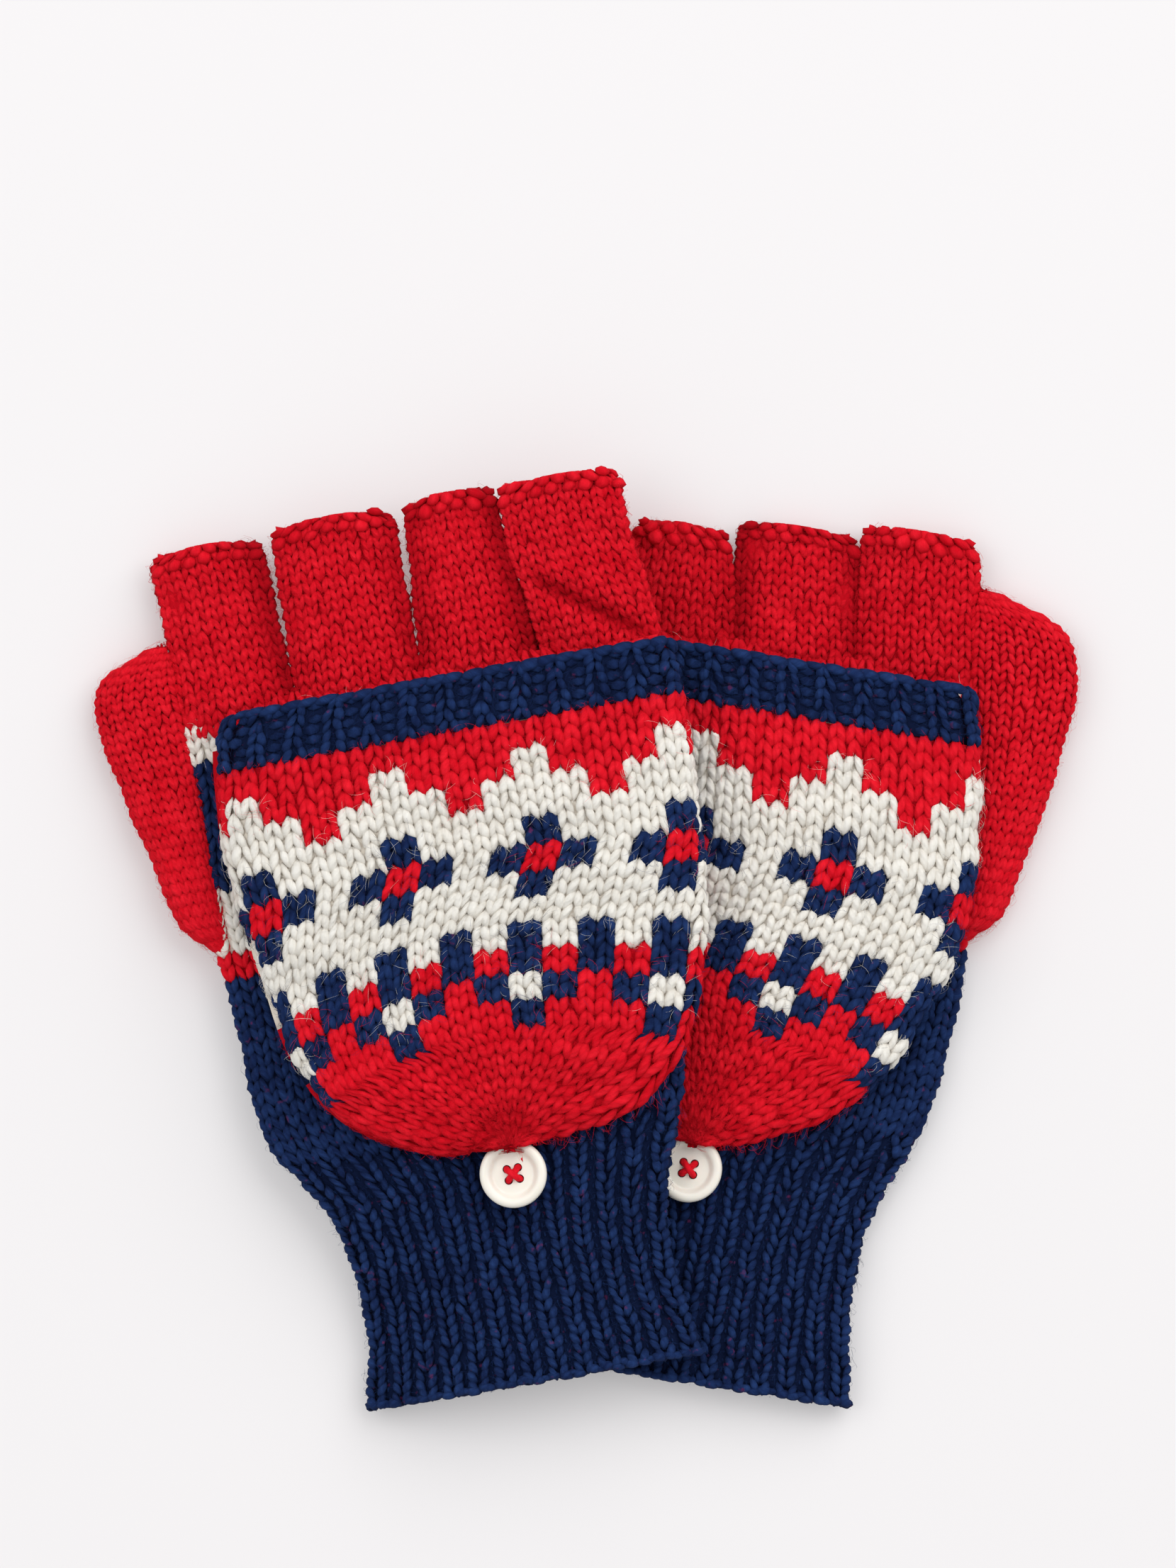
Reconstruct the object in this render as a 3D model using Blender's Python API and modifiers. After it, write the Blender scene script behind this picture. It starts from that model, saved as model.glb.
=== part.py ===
"""A pair of convertible knitted mittens, lying palm down, the right-hand one over the left-hand one.

Each glove is drawn in its own flat frame, in millimetres: x runs across the hand with the thumb at -x,
y runs from the wrist to the fingers with 0 at the knuckles, and z is the height over the palm side.
Glove.place() then carries every point into the shared frame, so the two gloves lie across each other:
the left glove is pressed flatter where the right one lies on it, and the right one leans on the left one.
"""
import math
from dataclasses import dataclass

import bmesh
import bpy
from mathutils import Matrix, Vector

for old in list(bpy.data.objects):
    bpy.data.objects.remove(old)

MM = 0.001

# Fabric and layers, in millimetres
WALL = 1.3            # thickness of the knitted fabric
HAND_HEIGHT = 7.5     # palm side to back of the hand, outside
LAYER_GAP = 0.45      # room between the back of the hand and the folded flap
POCKET = 5.4          # room inside the flap
FLAP_BOTTOM = HAND_HEIGHT + LAYER_GAP
FLAP_TOP = FLAP_BOTTOM + 2 * WALL + POCKET
FLAP_RIM = FLAP_BOTTOM + WALL + 2.0   # the front panel's lower rim
TIP_RISE = 3.2        # what is left of the pocket's arch at the flap's tip
NEIGHBOUR_GAP = 0.8   # between neighbouring finger tubes
BUTT_GAP = 0.35       # between pieces that meet end to end

# Stations along a glove, in millimetres from the knuckles
KNUCKLE_END = 8.0     # where the hand ends and the finger tubes start
CUFF_START = -88.0    # where the hand ends and the cuff starts
HINGE_AT = 3.5        # where the flap's seam crosses the middle of the hand
HINGE_SLANT = math.radians(4)
HINGE_Z = FLAP_BOTTOM + WALL / 2
SEAM_RADIUS = 0.55
RIB_TOP = 6.4
RIB_BOTTOM = -4.3

# How the right glove leans on the left one
LEAN = math.radians(7.5)
LEAN_FROM = -92.5     # where the leaning glove meets the table
CUFF_REST = 8.8       # height of the right cuff where it lies on the left cuff
CUFF_RAMP = (-40.0, -14.0)
CUFF_BEND = (-80.0, -118.0)

# Button, 20 ligne
BUTTON_RADIUS = 6.35
BUTTON_THICKNESS = 2.6
BUTTON_DISH = 0.58 * BUTTON_THICKNESS   # height of the dished middle
BUTTON_HOLE = 0.8                       # radius of a hole
BUTTON_HOLE_AT = 1.5                    # from the button's middle
SHANK = 2.0
THREAD_RADIUS = 0.42
LOOP_RADIUS = 0.5

# The hole in the side of the hand that the thumb goes through
WINDOW_FROM, WINDOW_TO = -23.0, -7.0
WINDOW_WIDTH = 9.0

# Spacing of the sections along each kind of piece
CUFF_STEP, HAND_STEP, FINGER_STEP, THUMB_STEP, RIB_STEP = 7.5, 9.0, 8.0, 6.2, 3.7

COLOURS = {
    "red": (0.60, 0.008, 0.014, 1),
    "navy": (0.008, 0.024, 0.115, 1),
    "white": (0.82, 0.78, 0.70, 1),
    "button": (0.84, 0.80, 0.71, 1),
}


def ease(t):
    """Smooth step from 0 to 1."""
    t = min(1.0, max(0.0, t))
    return t * t * (3 - 2 * t)


def along(points, y):
    """Reads x at y from an outline's few (y, x) points, on a smooth curve through them."""
    pts = sorted(points)
    if y <= pts[0][0]:
        return pts[0][1]
    if y >= pts[-1][0]:
        return pts[-1][1]
    i = max(k for k in range(len(pts) - 1) if pts[k][0] <= y)
    before, a, b, after = pts[max(i - 1, 0)], pts[i], pts[i + 1], pts[min(i + 2, len(pts) - 1)]
    span = b[0] - a[0]
    slope_a = (b[1] - before[1]) / (b[0] - before[0])
    slope_b = (after[1] - a[1]) / (after[0] - a[0])
    t = (y - a[0]) / span
    return (
        (2 * t**3 - 3 * t**2 + 1) * a[1]
        + (t**3 - 2 * t**2 + t) * span * slope_a
        + (3 * t**2 - 2 * t**3) * b[1]
        + (t**3 - t**2) * span * slope_b
    )


@dataclass
class Glove:
    """One glove's outlines and its place. Outlines are (y, x) points."""

    name: str
    mirror: int
    turn: float
    at: tuple
    thumb_side: list
    little_side: list
    finger_base: list
    finger_top: list
    finger_ends: list
    thumb_outer: list
    thumb_inner: list
    flap_thumb_side: list
    flap_little_side: list
    tip: float
    button: tuple

    def flat(self, x, y):
        """The point's place on the table."""
        x *= self.mirror
        c, s = math.cos(math.radians(self.turn)), math.sin(math.radians(self.turn))
        return self.at[0] + x * c - y * s, self.at[1] + x * s + y * c

    def place(self, x, y, z):
        """The point's place in the shared frame, in millimetres."""
        wx, wy = self.flat(x, y)
        if self.name == "right":
            reach = wx - LEAN_FROM
            lean_height = reach * math.sin(LEAN)
            rest = CUFF_REST * ease((wx - CUFF_RAMP[0]) / (CUFF_RAMP[1] - CUFF_RAMP[0]))
            bend = ease((y - CUFF_BEND[0]) / (CUFF_BEND[1] - CUFF_BEND[0]))
            return Vector((
                LEAN_FROM + reach * math.cos(LEAN) - z * math.sin(LEAN),
                wy,
                lean_height + z * math.cos(LEAN) - (lean_height - rest) * bend,
            ))
        return Vector((wx, wy, z * self.pressed(wx, y)))

    def pressed(self, wx, y):
        """How much of its height the left glove keeps under the right one."""
        room = (wx - LEAN_FROM) * math.tan(LEAN) - 0.45
        kept = min(1.0, room / FLAP_TOP)
        kept += (1 - kept) * ease((wx - 20) / 14)
        zone = ease((y + 104) / 16) * ease((KNUCKLE_END + 14 - y) / 14)
        return 1 - (1 - kept) * zone


RIGHT = Glove(
    name="right", mirror=1, turn=10, at=(-23.9, 14.1),
    thumb_side=[
        (-88, -41), (-79, -47.3), (-70, -50.6), (-50, -51.9), (-32, -53.0), (-12, -52.2), (8, -51.8),
    ],
    little_side=[(-88, 27), (-80, 30), (-62, 34.5), (-45, 39.5), (-20, 42.5), (0, 41.5), (8, 38.5)],
    finger_base=[-51.8, -29.2, -5.0, 15.0, 38.4],
    finger_top=[-53.3, -29.6, -3.9, 14.9, 39.0],
    finger_ends=[38.2, 39.4, 39.8, 39.4],
    thumb_outer=[
        (-35, -58.2), (-30, -59.2), (-20, -61.4), (-8, -64.6), (4, -67.2), (11, -67.9), (16, -65.6),
        (19.4, -60.5),
    ],
    thumb_inner=[(-35, -54.0), (-20, -54.4), (0, -54.8), (19.4, -56.0)],
    flap_thumb_side=[
        (-80.9, -9), (-79.4, -19), (-74.5, -32), (-62, -41.3), (-44, -45.0), (-19, -48.0), (0, -46.0),
        (6.4, -43.0),
    ],
    flap_little_side=[
        (-80.9, 8), (-79.8, 18), (-76, 27.5), (-67, 34.9), (-50.5, 40.6), (-22, 43.8), (0, 44.2),
        (6.4, 44.0),
    ],
    tip=-80.9, button=(-3.2, -87.7),
)
LEFT = Glove(
    name="left", mirror=-1, turn=-9, at=(30.6, 18.4),
    thumb_side=[
        (-88, -41.5), (-78, -45.2), (-70, -46.7), (-56, -48.4), (-40, -48.3), (-25, -48.4), (0, -43.6),
        (8, -42.4),
    ],
    little_side=[(-88, 27), (-80, 30), (-62, 34.5), (-45, 39.5), (-20, 42.5), (0, 42.5), (8, 43.5)],
    finger_base=[-42.4, -19.0, 4.6, 25.2, 43.6],
    finger_top=[-39.2, -16.0, 7.8, 27.2, 45.5],
    finger_ends=[33.4, 30.8, 28.0, 26.5],
    thumb_outer=[
        (-39, -53.4), (-34, -54.2), (-22, -56.8), (-8, -59.4), (4, -61.0), (13, -60.6), (19, -56.8),
        (22.8, -49.5),
    ],
    thumb_inner=[(-39, -49.2), (-25, -49.6), (0, -45.6), (12, -43.6), (22.8, -43.4)],
    flap_thumb_side=[
        (-84.5, -8), (-82.5, -17), (-78.5, -27), (-65, -38.2), (-46, -45.6), (-27, -47.3), (-6, -44.8),
        (6.4, -41.5),
    ],
    flap_little_side=[
        (-84.5, 5), (-80, 17), (-68, 30.3), (-51, 38.5), (-22, 43.6), (0, 44.2), (6.4, 44.0),
    ],
    tip=-84.5, button=(-2.5, -91.2),
)
CUFF_THUMB_SIDE = [(-132, -40.5), (-124, -39.2), (-114, -37.6), (-100, -37.8), (-88, -41)]
CUFF_LITTLE_SIDE = [(-132, 26.6), (-124, 25.6), (-114, 23.9), (-100, 23.8), (-88, 27)]
CUFF_END = {"right": -127.5, "left": -131.5}

PARTS = bpy.data.collections.new("knitted_gloves")
CUTTERS = bpy.data.collections.new("cutters")
bpy.context.scene.collection.children.link(PARTS)
bpy.context.scene.collection.children.link(CUTTERS)
MATERIALS = {}


def material(name):
    """The named colour as a material."""
    if name not in MATERIALS:
        mat = bpy.data.materials.new(name)
        mat.use_nodes = True
        shader = mat.node_tree.nodes["Principled BSDF"]
        shader.inputs["Base Color"].default_value = COLOURS[name]
        shader.inputs["Roughness"].default_value = 0.4 if name == "button" else 0.9
        shader.inputs["Metallic"].default_value = 0
        MATERIALS[name] = mat
    return MATERIALS[name]


def add_object(name, mesh, colour, collection=None):
    """Puts a mesh in the scene as a named part."""
    obj = bpy.data.objects.new(name, mesh)
    (collection or PARTS).objects.link(obj)
    if colour:
        mesh.materials.append(material(colour))
    return obj


def add_empty(name, at, parent=None):
    """An empty that carries pieces. A moving piece's empty stands on its joint's axis."""
    empty = bpy.data.objects.new(name, None)
    PARTS.objects.link(empty)
    empty.location = at
    if parent:
        carry(parent, empty)
    return empty


def carry(empty, *pieces):
    """Parents the pieces to an empty, and leaves them where they are."""
    for piece in pieces:
        piece.parent = empty
        piece.matrix_parent_inverse = Matrix.Translation(-empty.location)


def flat_tube_section(left, right, bottom, top, flats, rounds):
    """A ring of (x, z) points, flat above and below and round at both sides, from the lower left."""
    radius = min((top - bottom) / 2, (right - left) / 2)
    middle = (top + bottom) / 2
    height = (top - bottom) / 2
    ring = []
    for i in range(flats + 1):
        ring.append((left + radius + (right - left - 2 * radius) * i / flats, bottom))
    for i in range(1, rounds):
        a = -math.pi / 2 + math.pi * i / rounds
        ring.append((right - radius + radius * math.cos(a), middle + height * math.sin(a)))
    for i in range(flats + 1):
        ring.append((right - radius - (right - left - 2 * radius) * i / flats, top))
    for i in range(1, rounds):
        a = math.pi / 2 + math.pi * i / rounds
        ring.append((left + radius + radius * math.cos(a), middle + height * math.sin(a)))
    return ring


def loft(name, glove, sections, colour, closed=False, thickness=WALL):
    """A tube through sections, each (y, ring), with the fabric's thickness inside it.

    closed shuts both ends before the thickness is added, which leaves a hollow that a cutter opens.
    """
    bm = bmesh.new()
    rings = [[bm.verts.new(glove.place(x, y, z) * MM) for x, z in ring] for y, ring in sections]
    count = len(rings[0])
    for near, far in zip(rings, rings[1:]):
        for i in range(count):
            j = (i + 1) % count
            bm.faces.new((near[i], near[j], far[j], far[i]))
    if closed:
        bm.faces.new(rings[0])
        bm.faces.new(rings[-1])
    bmesh.ops.recalc_face_normals(bm, faces=bm.faces)
    turn_outward(bm, rings)
    mesh = bpy.data.meshes.new(name)
    bm.to_mesh(mesh)
    bm.free()
    obj = add_object(name, mesh, colour)
    add_thickness(obj, thickness)
    shade_round(obj)
    return obj


def turn_outward(bm, rings):
    """Flips every face if the first ring's faces look at the ring's own middle."""
    middle = sum((v.co for v in rings[0]), Vector()) / len(rings[0])
    face = next(f for f in rings[0][0].link_faces if any(v in rings[1] for v in f.verts))
    face.normal_update()
    if face.normal.dot(face.calc_center_median() - middle) < 0:
        bmesh.ops.reverse_faces(bm, faces=bm.faces)


def add_thickness(obj, thickness, offset=-1.0):
    """Gives an open surface the fabric's thickness."""
    solid = obj.modifiers.new("fabric", "SOLIDIFY")
    solid.thickness = thickness * MM
    solid.offset = offset
    solid.use_even_offset = True
    solid.use_rim = True


def shade_round(obj):
    obj.data.shade_smooth()
    obj.data.set_sharp_from_angle(angle=math.radians(35))


def cut(obj, cutter):
    """Takes the cutter's shape out of the object."""
    boolean = obj.modifiers.new("cut", "BOOLEAN")
    boolean.operation = "DIFFERENCE"
    boolean.solver = "EXACT"
    boolean.object = cutter


def stations(start, end, step):
    """Evenly spaced places from start to end, about a step apart."""
    count = max(1, math.ceil(abs(end - start) / step))
    return [start + (end - start) * i / count for i in range(count + 1)]


def make_cuff(glove):
    end = CUFF_END[glove.name]
    sections = []
    for y in stations(end, CUFF_START - BUTT_GAP, CUFF_STEP):
        left, right = along(CUFF_THUMB_SIDE, y), along(CUFF_LITTLE_SIDE, y)
        sections.append((y, flat_tube_section(left, right, 0, HAND_HEIGHT, 8, 4)))
    return loft(f"{glove.name}_cuff", glove, sections, "navy")


def make_hand(glove):
    sections = []
    for y in stations(CUFF_START, KNUCKLE_END, HAND_STEP):
        left, right = along(glove.thumb_side, y), along(glove.little_side, y)
        sections.append((y, flat_tube_section(left, right, 0, HAND_HEIGHT, 10, 4)))
    hand = loft(f"{glove.name}_hand", glove, sections, "navy")
    cut(hand, make_thumb_window(glove))
    return hand


def make_finger(glove, index, name):
    start, end = KNUCKLE_END + BUTT_GAP, glove.finger_ends[index]
    sections = []
    for y in stations(start, end, FINGER_STEP):
        t = (y - start) / (end - start)
        left, right = (
            (1 - t) * glove.finger_base[k] + t * glove.finger_top[k] for k in (index, index + 1)
        )
        left += NEIGHBOUR_GAP / 2
        right -= NEIGHBOUR_GAP / 2
        sections.append((y, flat_tube_section(left, right, 0, HAND_HEIGHT, 3, 4)))
    return loft(f"{glove.name}_{name}_finger", glove, sections, "red")


def make_thumb(glove):
    """A closed tube beside the hand, opened towards the hand by the thumb window."""
    first, last = glove.thumb_outer[0][0], glove.thumb_outer[-1][0]
    sections = []
    for y in stations(first, last, THUMB_STEP):
        left, right = along(glove.thumb_outer, y), along(glove.thumb_inner, y)
        end = min((y - first) / 12, (last - y) / 4, 1)
        height = HAND_HEIGHT * (0.55 + 0.45 * math.sqrt(1 - (1 - end) ** 2))
        sections.append((y, flat_tube_section(left, right, 0, height, 2, 4)))
    thumb = loft(f"{glove.name}_thumb", glove, sections, "red", closed=True)
    cut(thumb, bpy.data.objects[f"{glove.name}_thumb_window"])
    return thumb


def make_thumb_window(glove):
    """The cutter for the thumb's hole, across the side of the hand and of the thumb's tube."""
    bm = bmesh.new()
    bmesh.ops.create_cube(bm, size=1.0)
    edge = (along(glove.thumb_side, WINDOW_FROM) + along(glove.thumb_side, WINDOW_TO)) / 2
    height = HAND_HEIGHT - 2 * WALL - 0.4
    for v in bm.verts:
        x = edge - 0.6 + v.co.x * WINDOW_WIDTH
        y = (WINDOW_FROM + WINDOW_TO) / 2 + v.co.y * (WINDOW_TO - WINDOW_FROM)
        v.co = glove.place(x, y, HAND_HEIGHT / 2 + v.co.z * height) * MM
    bmesh.ops.recalc_face_normals(bm, faces=bm.faces)
    mesh = bpy.data.meshes.new("window")
    bm.to_mesh(mesh)
    bm.free()
    return add_cutter(f"{glove.name}_thumb_window", mesh)


def add_cutter(name, mesh):
    """A hidden object that is only there to be cut away from others."""
    cutter = add_object(name, mesh, None, CUTTERS)
    cutter.hide_render = True
    cutter.display_type = "WIRE"
    carry(ROOT, cutter)
    return cutter


def hinge_y(x):
    """Where the flap's seam is at x."""
    return HINGE_AT + x * math.tan(HINGE_SLANT)


def make_flap_back(glove):
    """The flat panel that is sewn to the hand, from the seam to the tip."""
    bm = bmesh.new()
    across = 10
    rows = []
    for t in (0, 0.09, 0.22, 0.36, 0.5, 0.63, 0.75, 0.85, 0.92, 0.965, 1.0):
        row = []
        y_flat = -1.3 + (glove.tip + 1.6) * t
        left, right = along(glove.flap_thumb_side, y_flat) + 0.4, along(glove.flap_little_side, y_flat) - 0.4
        for i in range(across + 1):
            x = left + (right - left) * i / across
            y = y_flat + hinge_y(x) * (1 - ease(t / 0.3))
            row.append(bm.verts.new(glove.place(x, y, FLAP_BOTTOM) * MM))
        rows.append(row)
    for near, far in zip(rows, rows[1:]):
        for i in range(across):
            bm.faces.new((near[i], near[i + 1], far[i + 1], far[i]))
    bmesh.ops.recalc_face_normals(bm, faces=bm.faces)
    if sum((f.normal.z for f in bm.faces)) > 0:
        bmesh.ops.reverse_faces(bm, faces=bm.faces)
    mesh = bpy.data.meshes.new("flap_back")
    bm.to_mesh(mesh)
    bm.free()
    panel = add_object(f"{glove.name}_flap_back_panel", mesh, "white")
    add_thickness(panel, WALL)
    return panel


def arch(left, right, rim, top, flats, rounds):
    """The (x, z) points of an arch over the flap's pocket, from its left rim to its right rim."""
    radius = min(top - rim, (right - left) / 2)
    points = []
    for i in range(rounds + 1):
        a = math.pi - math.pi / 2 * i / rounds
        points.append((left + radius + radius * math.cos(a), rim + (top - rim) * math.sin(a)))
    for i in range(1, flats):
        points.append((left + radius + (right - left - 2 * radius) * i / flats, top))
    for i in range(rounds + 1):
        a = math.pi / 2 - math.pi / 2 * i / rounds
        points.append((right - radius + radius * math.cos(a), rim + (top - rim) * math.sin(a)))
    return points


def make_arched_panel(glove, name, places, colour):
    """An arched sheet over the pocket through places, each (y, top height, left, right)."""
    bm = bmesh.new()
    rows = []
    for y, top, left, right in places:
        points = arch(left, right, FLAP_RIM, top, 10, 3)
        rows.append([bm.verts.new(glove.place(x, y, z) * MM) for x, z in points])
    for near, far in zip(rows, rows[1:]):
        for i in range(len(near) - 1):
            bm.faces.new((near[i], near[i + 1], far[i + 1], far[i]))
    bmesh.ops.recalc_face_normals(bm, faces=bm.faces)
    if sum((f.normal.z for f in bm.faces)) < 0:
        bmesh.ops.reverse_faces(bm, faces=bm.faces)
    mesh = bpy.data.meshes.new(name)
    bm.to_mesh(mesh)
    bm.free()
    panel = add_object(f"{glove.name}_{name}", mesh, colour)
    add_thickness(panel, WALL)
    shade_round(panel)
    return panel


def make_flap_front(glove):
    places = []
    start = RIB_BOTTOM - BUTT_GAP
    for t in (0, 0.2, 0.38, 0.54, 0.68, 0.79, 0.88, 0.94, 0.975, 1.0):
        y = start + (glove.tip - start) * t
        fall = ease((t - 0.72) / 0.28)
        top = FLAP_TOP - (FLAP_TOP - FLAP_RIM - TIP_RISE) * fall
        places.append((y, top, along(glove.flap_thumb_side, y), along(glove.flap_little_side, y)))
    return make_arched_panel(glove, "flap_front_panel", places, "white")


def make_flap_rib(glove):
    places = []
    for y in stations(RIB_BOTTOM, RIB_TOP, RIB_STEP):
        places.append((y, FLAP_TOP, along(glove.flap_thumb_side, y), along(glove.flap_little_side, y)))
    return make_arched_panel(glove, "flap_rib_band", places, "navy")


def make_cord(name, points, radius, colour, smooth=2):
    """A yarn along points that are already in the shared frame."""
    curve = bpy.data.curves.new(name, "CURVE")
    curve.dimensions = "3D"
    curve.bevel_depth = radius * MM
    curve.bevel_resolution = smooth
    curve.use_fill_caps = True
    spline = curve.splines.new("POLY")
    spline.points.add(len(points) - 1)
    for point, place in zip(spline.points, points):
        point.co = (*(place * MM), 1)
    return add_object(name, curve, colour)


def make_seam(glove):
    """The linked row of yarn on the hinge line."""
    left = along(glove.flap_thumb_side, 0) + 2.0
    right = along(glove.flap_little_side, 0) - 3.5
    points = [glove.place(x, hinge_y(x), HINGE_Z) for x in stations(left, right, 9)]
    return make_cord(f"{glove.name}_flap_seam", points, SEAM_RADIUS, "red", smooth=1)


def button_frame(glove):
    """The button's middle and its axes, square to the fabric under it."""
    x, y = glove.button
    middle = glove.place(x, y, HAND_HEIGHT + SHANK)
    across = glove.place(x + 1, y, HAND_HEIGHT + SHANK) - middle
    up = (glove.place(x, y, HAND_HEIGHT + SHANK + 1) - middle).normalized()
    across = (across - up * across.dot(up)).normalized()
    side = up.cross(across)
    return Matrix((
        (across.x, side.x, up.x, middle.x * MM),
        (across.y, side.y, up.y, middle.y * MM),
        (across.z, side.z, up.z, middle.z * MM),
        (0, 0, 0, 1),
    ))


def make_button(glove):
    """A turned disc with a raised rim and a dished middle, and four holes."""
    r, t = BUTTON_RADIUS, BUTTON_THICKNESS
    profile = [
        (0, BUTTON_DISH), (r * 0.56, BUTTON_DISH), (r * 0.66, t * 0.66), (r * 0.74, t * 0.94),
        (r * 0.86, t), (r * 0.95, t * 0.9), (r, t * 0.62), (r * 0.94, t * 0.26), (r * 0.74, 0), (0, 0),
    ]
    mesh = bpy.data.meshes.new("button")
    edges = [(i, i + 1) for i in range(len(profile) - 1)]
    mesh.from_pydata([(x * MM, 0, z * MM) for x, z in profile], edges, [])
    button = add_object(f"{glove.name}_button", mesh, "button")
    button.matrix_world = button_frame(glove)
    turn = button.modifiers.new("turn", "SCREW")
    turn.steps = 28
    turn.render_steps = 28
    turn.use_merge_vertices = True
    turn.merge_threshold = 0.00005
    cut(button, make_button_holes(glove))
    return button


def make_button_holes(glove):
    """The cutter for the four holes."""
    bm = bmesh.new()
    for i in range(4):
        a = math.radians(45 + 90 * i)
        at = Vector((BUTTON_HOLE_AT * math.cos(a), BUTTON_HOLE_AT * math.sin(a), 1.0)) * MM
        bmesh.ops.create_cone(
            bm, cap_ends=True, segments=8, radius1=BUTTON_HOLE * MM, radius2=BUTTON_HOLE * MM,
            depth=0.006, matrix=Matrix.Translation(at),
        )
    mesh = bpy.data.meshes.new("holes")
    bm.to_mesh(mesh)
    bm.free()
    holes = add_cutter(f"{glove.name}_button_holes", mesh)
    holes.matrix_basis = button_frame(glove)
    return holes


def make_thread(glove):
    """The yarn across the button's middle and down through two of its holes, as one bent rod."""
    frame = button_frame(glove)
    a = math.radians(45)
    at = BUTTON_HOLE_AT
    low, high = -SHANK + 0.35, BUTTON_DISH + 0.62
    shoulder, inner = high - 0.35, at * 0.62
    route = [(-at, low), (-at, shoulder), (-inner, high), (inner, high), (at, shoulder), (at, low)]
    points = [frame @ (Vector((s * math.cos(a), s * math.sin(a), z)) * MM) / MM for s, z in route]
    return make_cord(f"{glove.name}_button_thread", points, THREAD_RADIUS, "red")


def make_loop(glove):
    """The yarn loop from the flap's tip round the button's shank."""
    x, y = glove.button
    reach = 2.9
    start = glove.tip + 1.2
    z = HAND_HEIGHT + 0.85
    route = [(-1.6, start - y), (-2.3, (start - y) * 0.55), (-reach, 0.4)]
    for i in range(1, 8):
        a = math.pi + math.pi * i / 8
        route.append((reach * math.cos(a), reach * math.sin(a)))
    route += [(reach, 0.4), (2.3, (start - y) * 0.55), (1.6, start - y)]
    points = [glove.place(x + dx, y + min(dy, glove.tip - 0.55 - y), z) for dx, dy in route]
    return make_cord(f"{glove.name}_button_loop", points, LOOP_RADIUS, "red", smooth=1)


def make_glove(glove):
    """Every piece of one glove, each moving one on an empty that stands on its joint's axis."""
    worn = add_empty(f"{glove.name}_glove", glove.place(0, 0, 0) * MM, ROOT)
    carry(worn, make_cuff(glove), make_hand(glove), make_seam(glove), make_button(glove), make_thread(glove))
    knuckle = KNUCKLE_END + BUTT_GAP / 2
    for index, name in enumerate(("index", "middle", "ring", "little")):
        middle = (glove.finger_base[index] + glove.finger_base[index + 1]) / 2
        turn = add_empty(f"{glove.name}_{name}_turn", glove.place(middle, knuckle, HAND_HEIGHT) * MM, worn)
        carry(turn, make_finger(glove, index, name))
    root_y, root_x = glove.thumb_inner[0]
    spread = add_empty(f"{glove.name}_thumb_spread", glove.place(root_x, root_y, HAND_HEIGHT / 2) * MM, worn)
    carry(spread, make_thumb(glove))
    fold = add_empty(f"{glove.name}_flap_fold", glove.place(0, hinge_y(0), HINGE_Z) * MM, worn)
    carry(fold, make_flap_back(glove), make_flap_front(glove), make_flap_rib(glove), make_loop(glove))


def centre_on_origin():
    """Moves everything so that the parts' box stands on the origin, at the middle of its underside."""
    bpy.context.view_layer.update()
    graph = bpy.context.evaluated_depsgraph_get()
    points = []
    for obj in PARTS.objects:
        if obj.type != "EMPTY":
            shown = obj.evaluated_get(graph)
            points += [shown.matrix_world @ v.co for v in shown.to_mesh().vertices]
            shown.to_mesh_clear()
    low = [min(p[k] for p in points) for k in range(3)]
    high = [max(p[k] for p in points) for k in range(3)]
    ROOT.location = (-(low[0] + high[0]) / 2, -(low[1] + high[1]) / 2, -low[2])
    bpy.context.view_layer.update()


ROOT = add_empty("knitted_gloves", (0, 0, 0))
make_glove(LEFT)
make_glove(RIGHT)
centre_on_origin()
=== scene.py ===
"""The looks of the knitted gloves: real knitting, stitch by stitch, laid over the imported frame.

Each glove is drawn in its own flat frame, in millimetres, as in the CAD script: x runs across the hand
with the thumb at -x, y runs from the wrist to the fingers with 0 at the knuckles, and z is the height
over the palm side. Glove.place() carries points into the shared frame, in metres.
"""
import math
from dataclasses import dataclass

import bpy
import numpy as np
from mathutils import Matrix, Vector


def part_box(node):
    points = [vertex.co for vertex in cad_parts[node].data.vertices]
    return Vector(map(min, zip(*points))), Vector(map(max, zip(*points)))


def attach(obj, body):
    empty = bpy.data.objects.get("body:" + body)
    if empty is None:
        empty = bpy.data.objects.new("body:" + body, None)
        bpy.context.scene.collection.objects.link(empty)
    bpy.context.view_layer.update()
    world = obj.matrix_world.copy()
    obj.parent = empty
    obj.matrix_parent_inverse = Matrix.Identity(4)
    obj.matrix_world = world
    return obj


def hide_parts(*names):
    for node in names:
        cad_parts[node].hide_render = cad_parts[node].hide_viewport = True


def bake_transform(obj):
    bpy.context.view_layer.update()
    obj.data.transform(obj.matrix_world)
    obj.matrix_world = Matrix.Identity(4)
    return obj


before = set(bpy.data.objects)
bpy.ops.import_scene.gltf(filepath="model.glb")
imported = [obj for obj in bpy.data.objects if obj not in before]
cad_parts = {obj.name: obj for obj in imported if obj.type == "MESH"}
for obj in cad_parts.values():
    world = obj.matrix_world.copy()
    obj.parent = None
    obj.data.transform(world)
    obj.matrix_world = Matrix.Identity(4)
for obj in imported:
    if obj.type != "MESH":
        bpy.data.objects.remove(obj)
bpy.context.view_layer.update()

MM = 0.001
RNG = np.random.default_rng(11)

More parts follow.
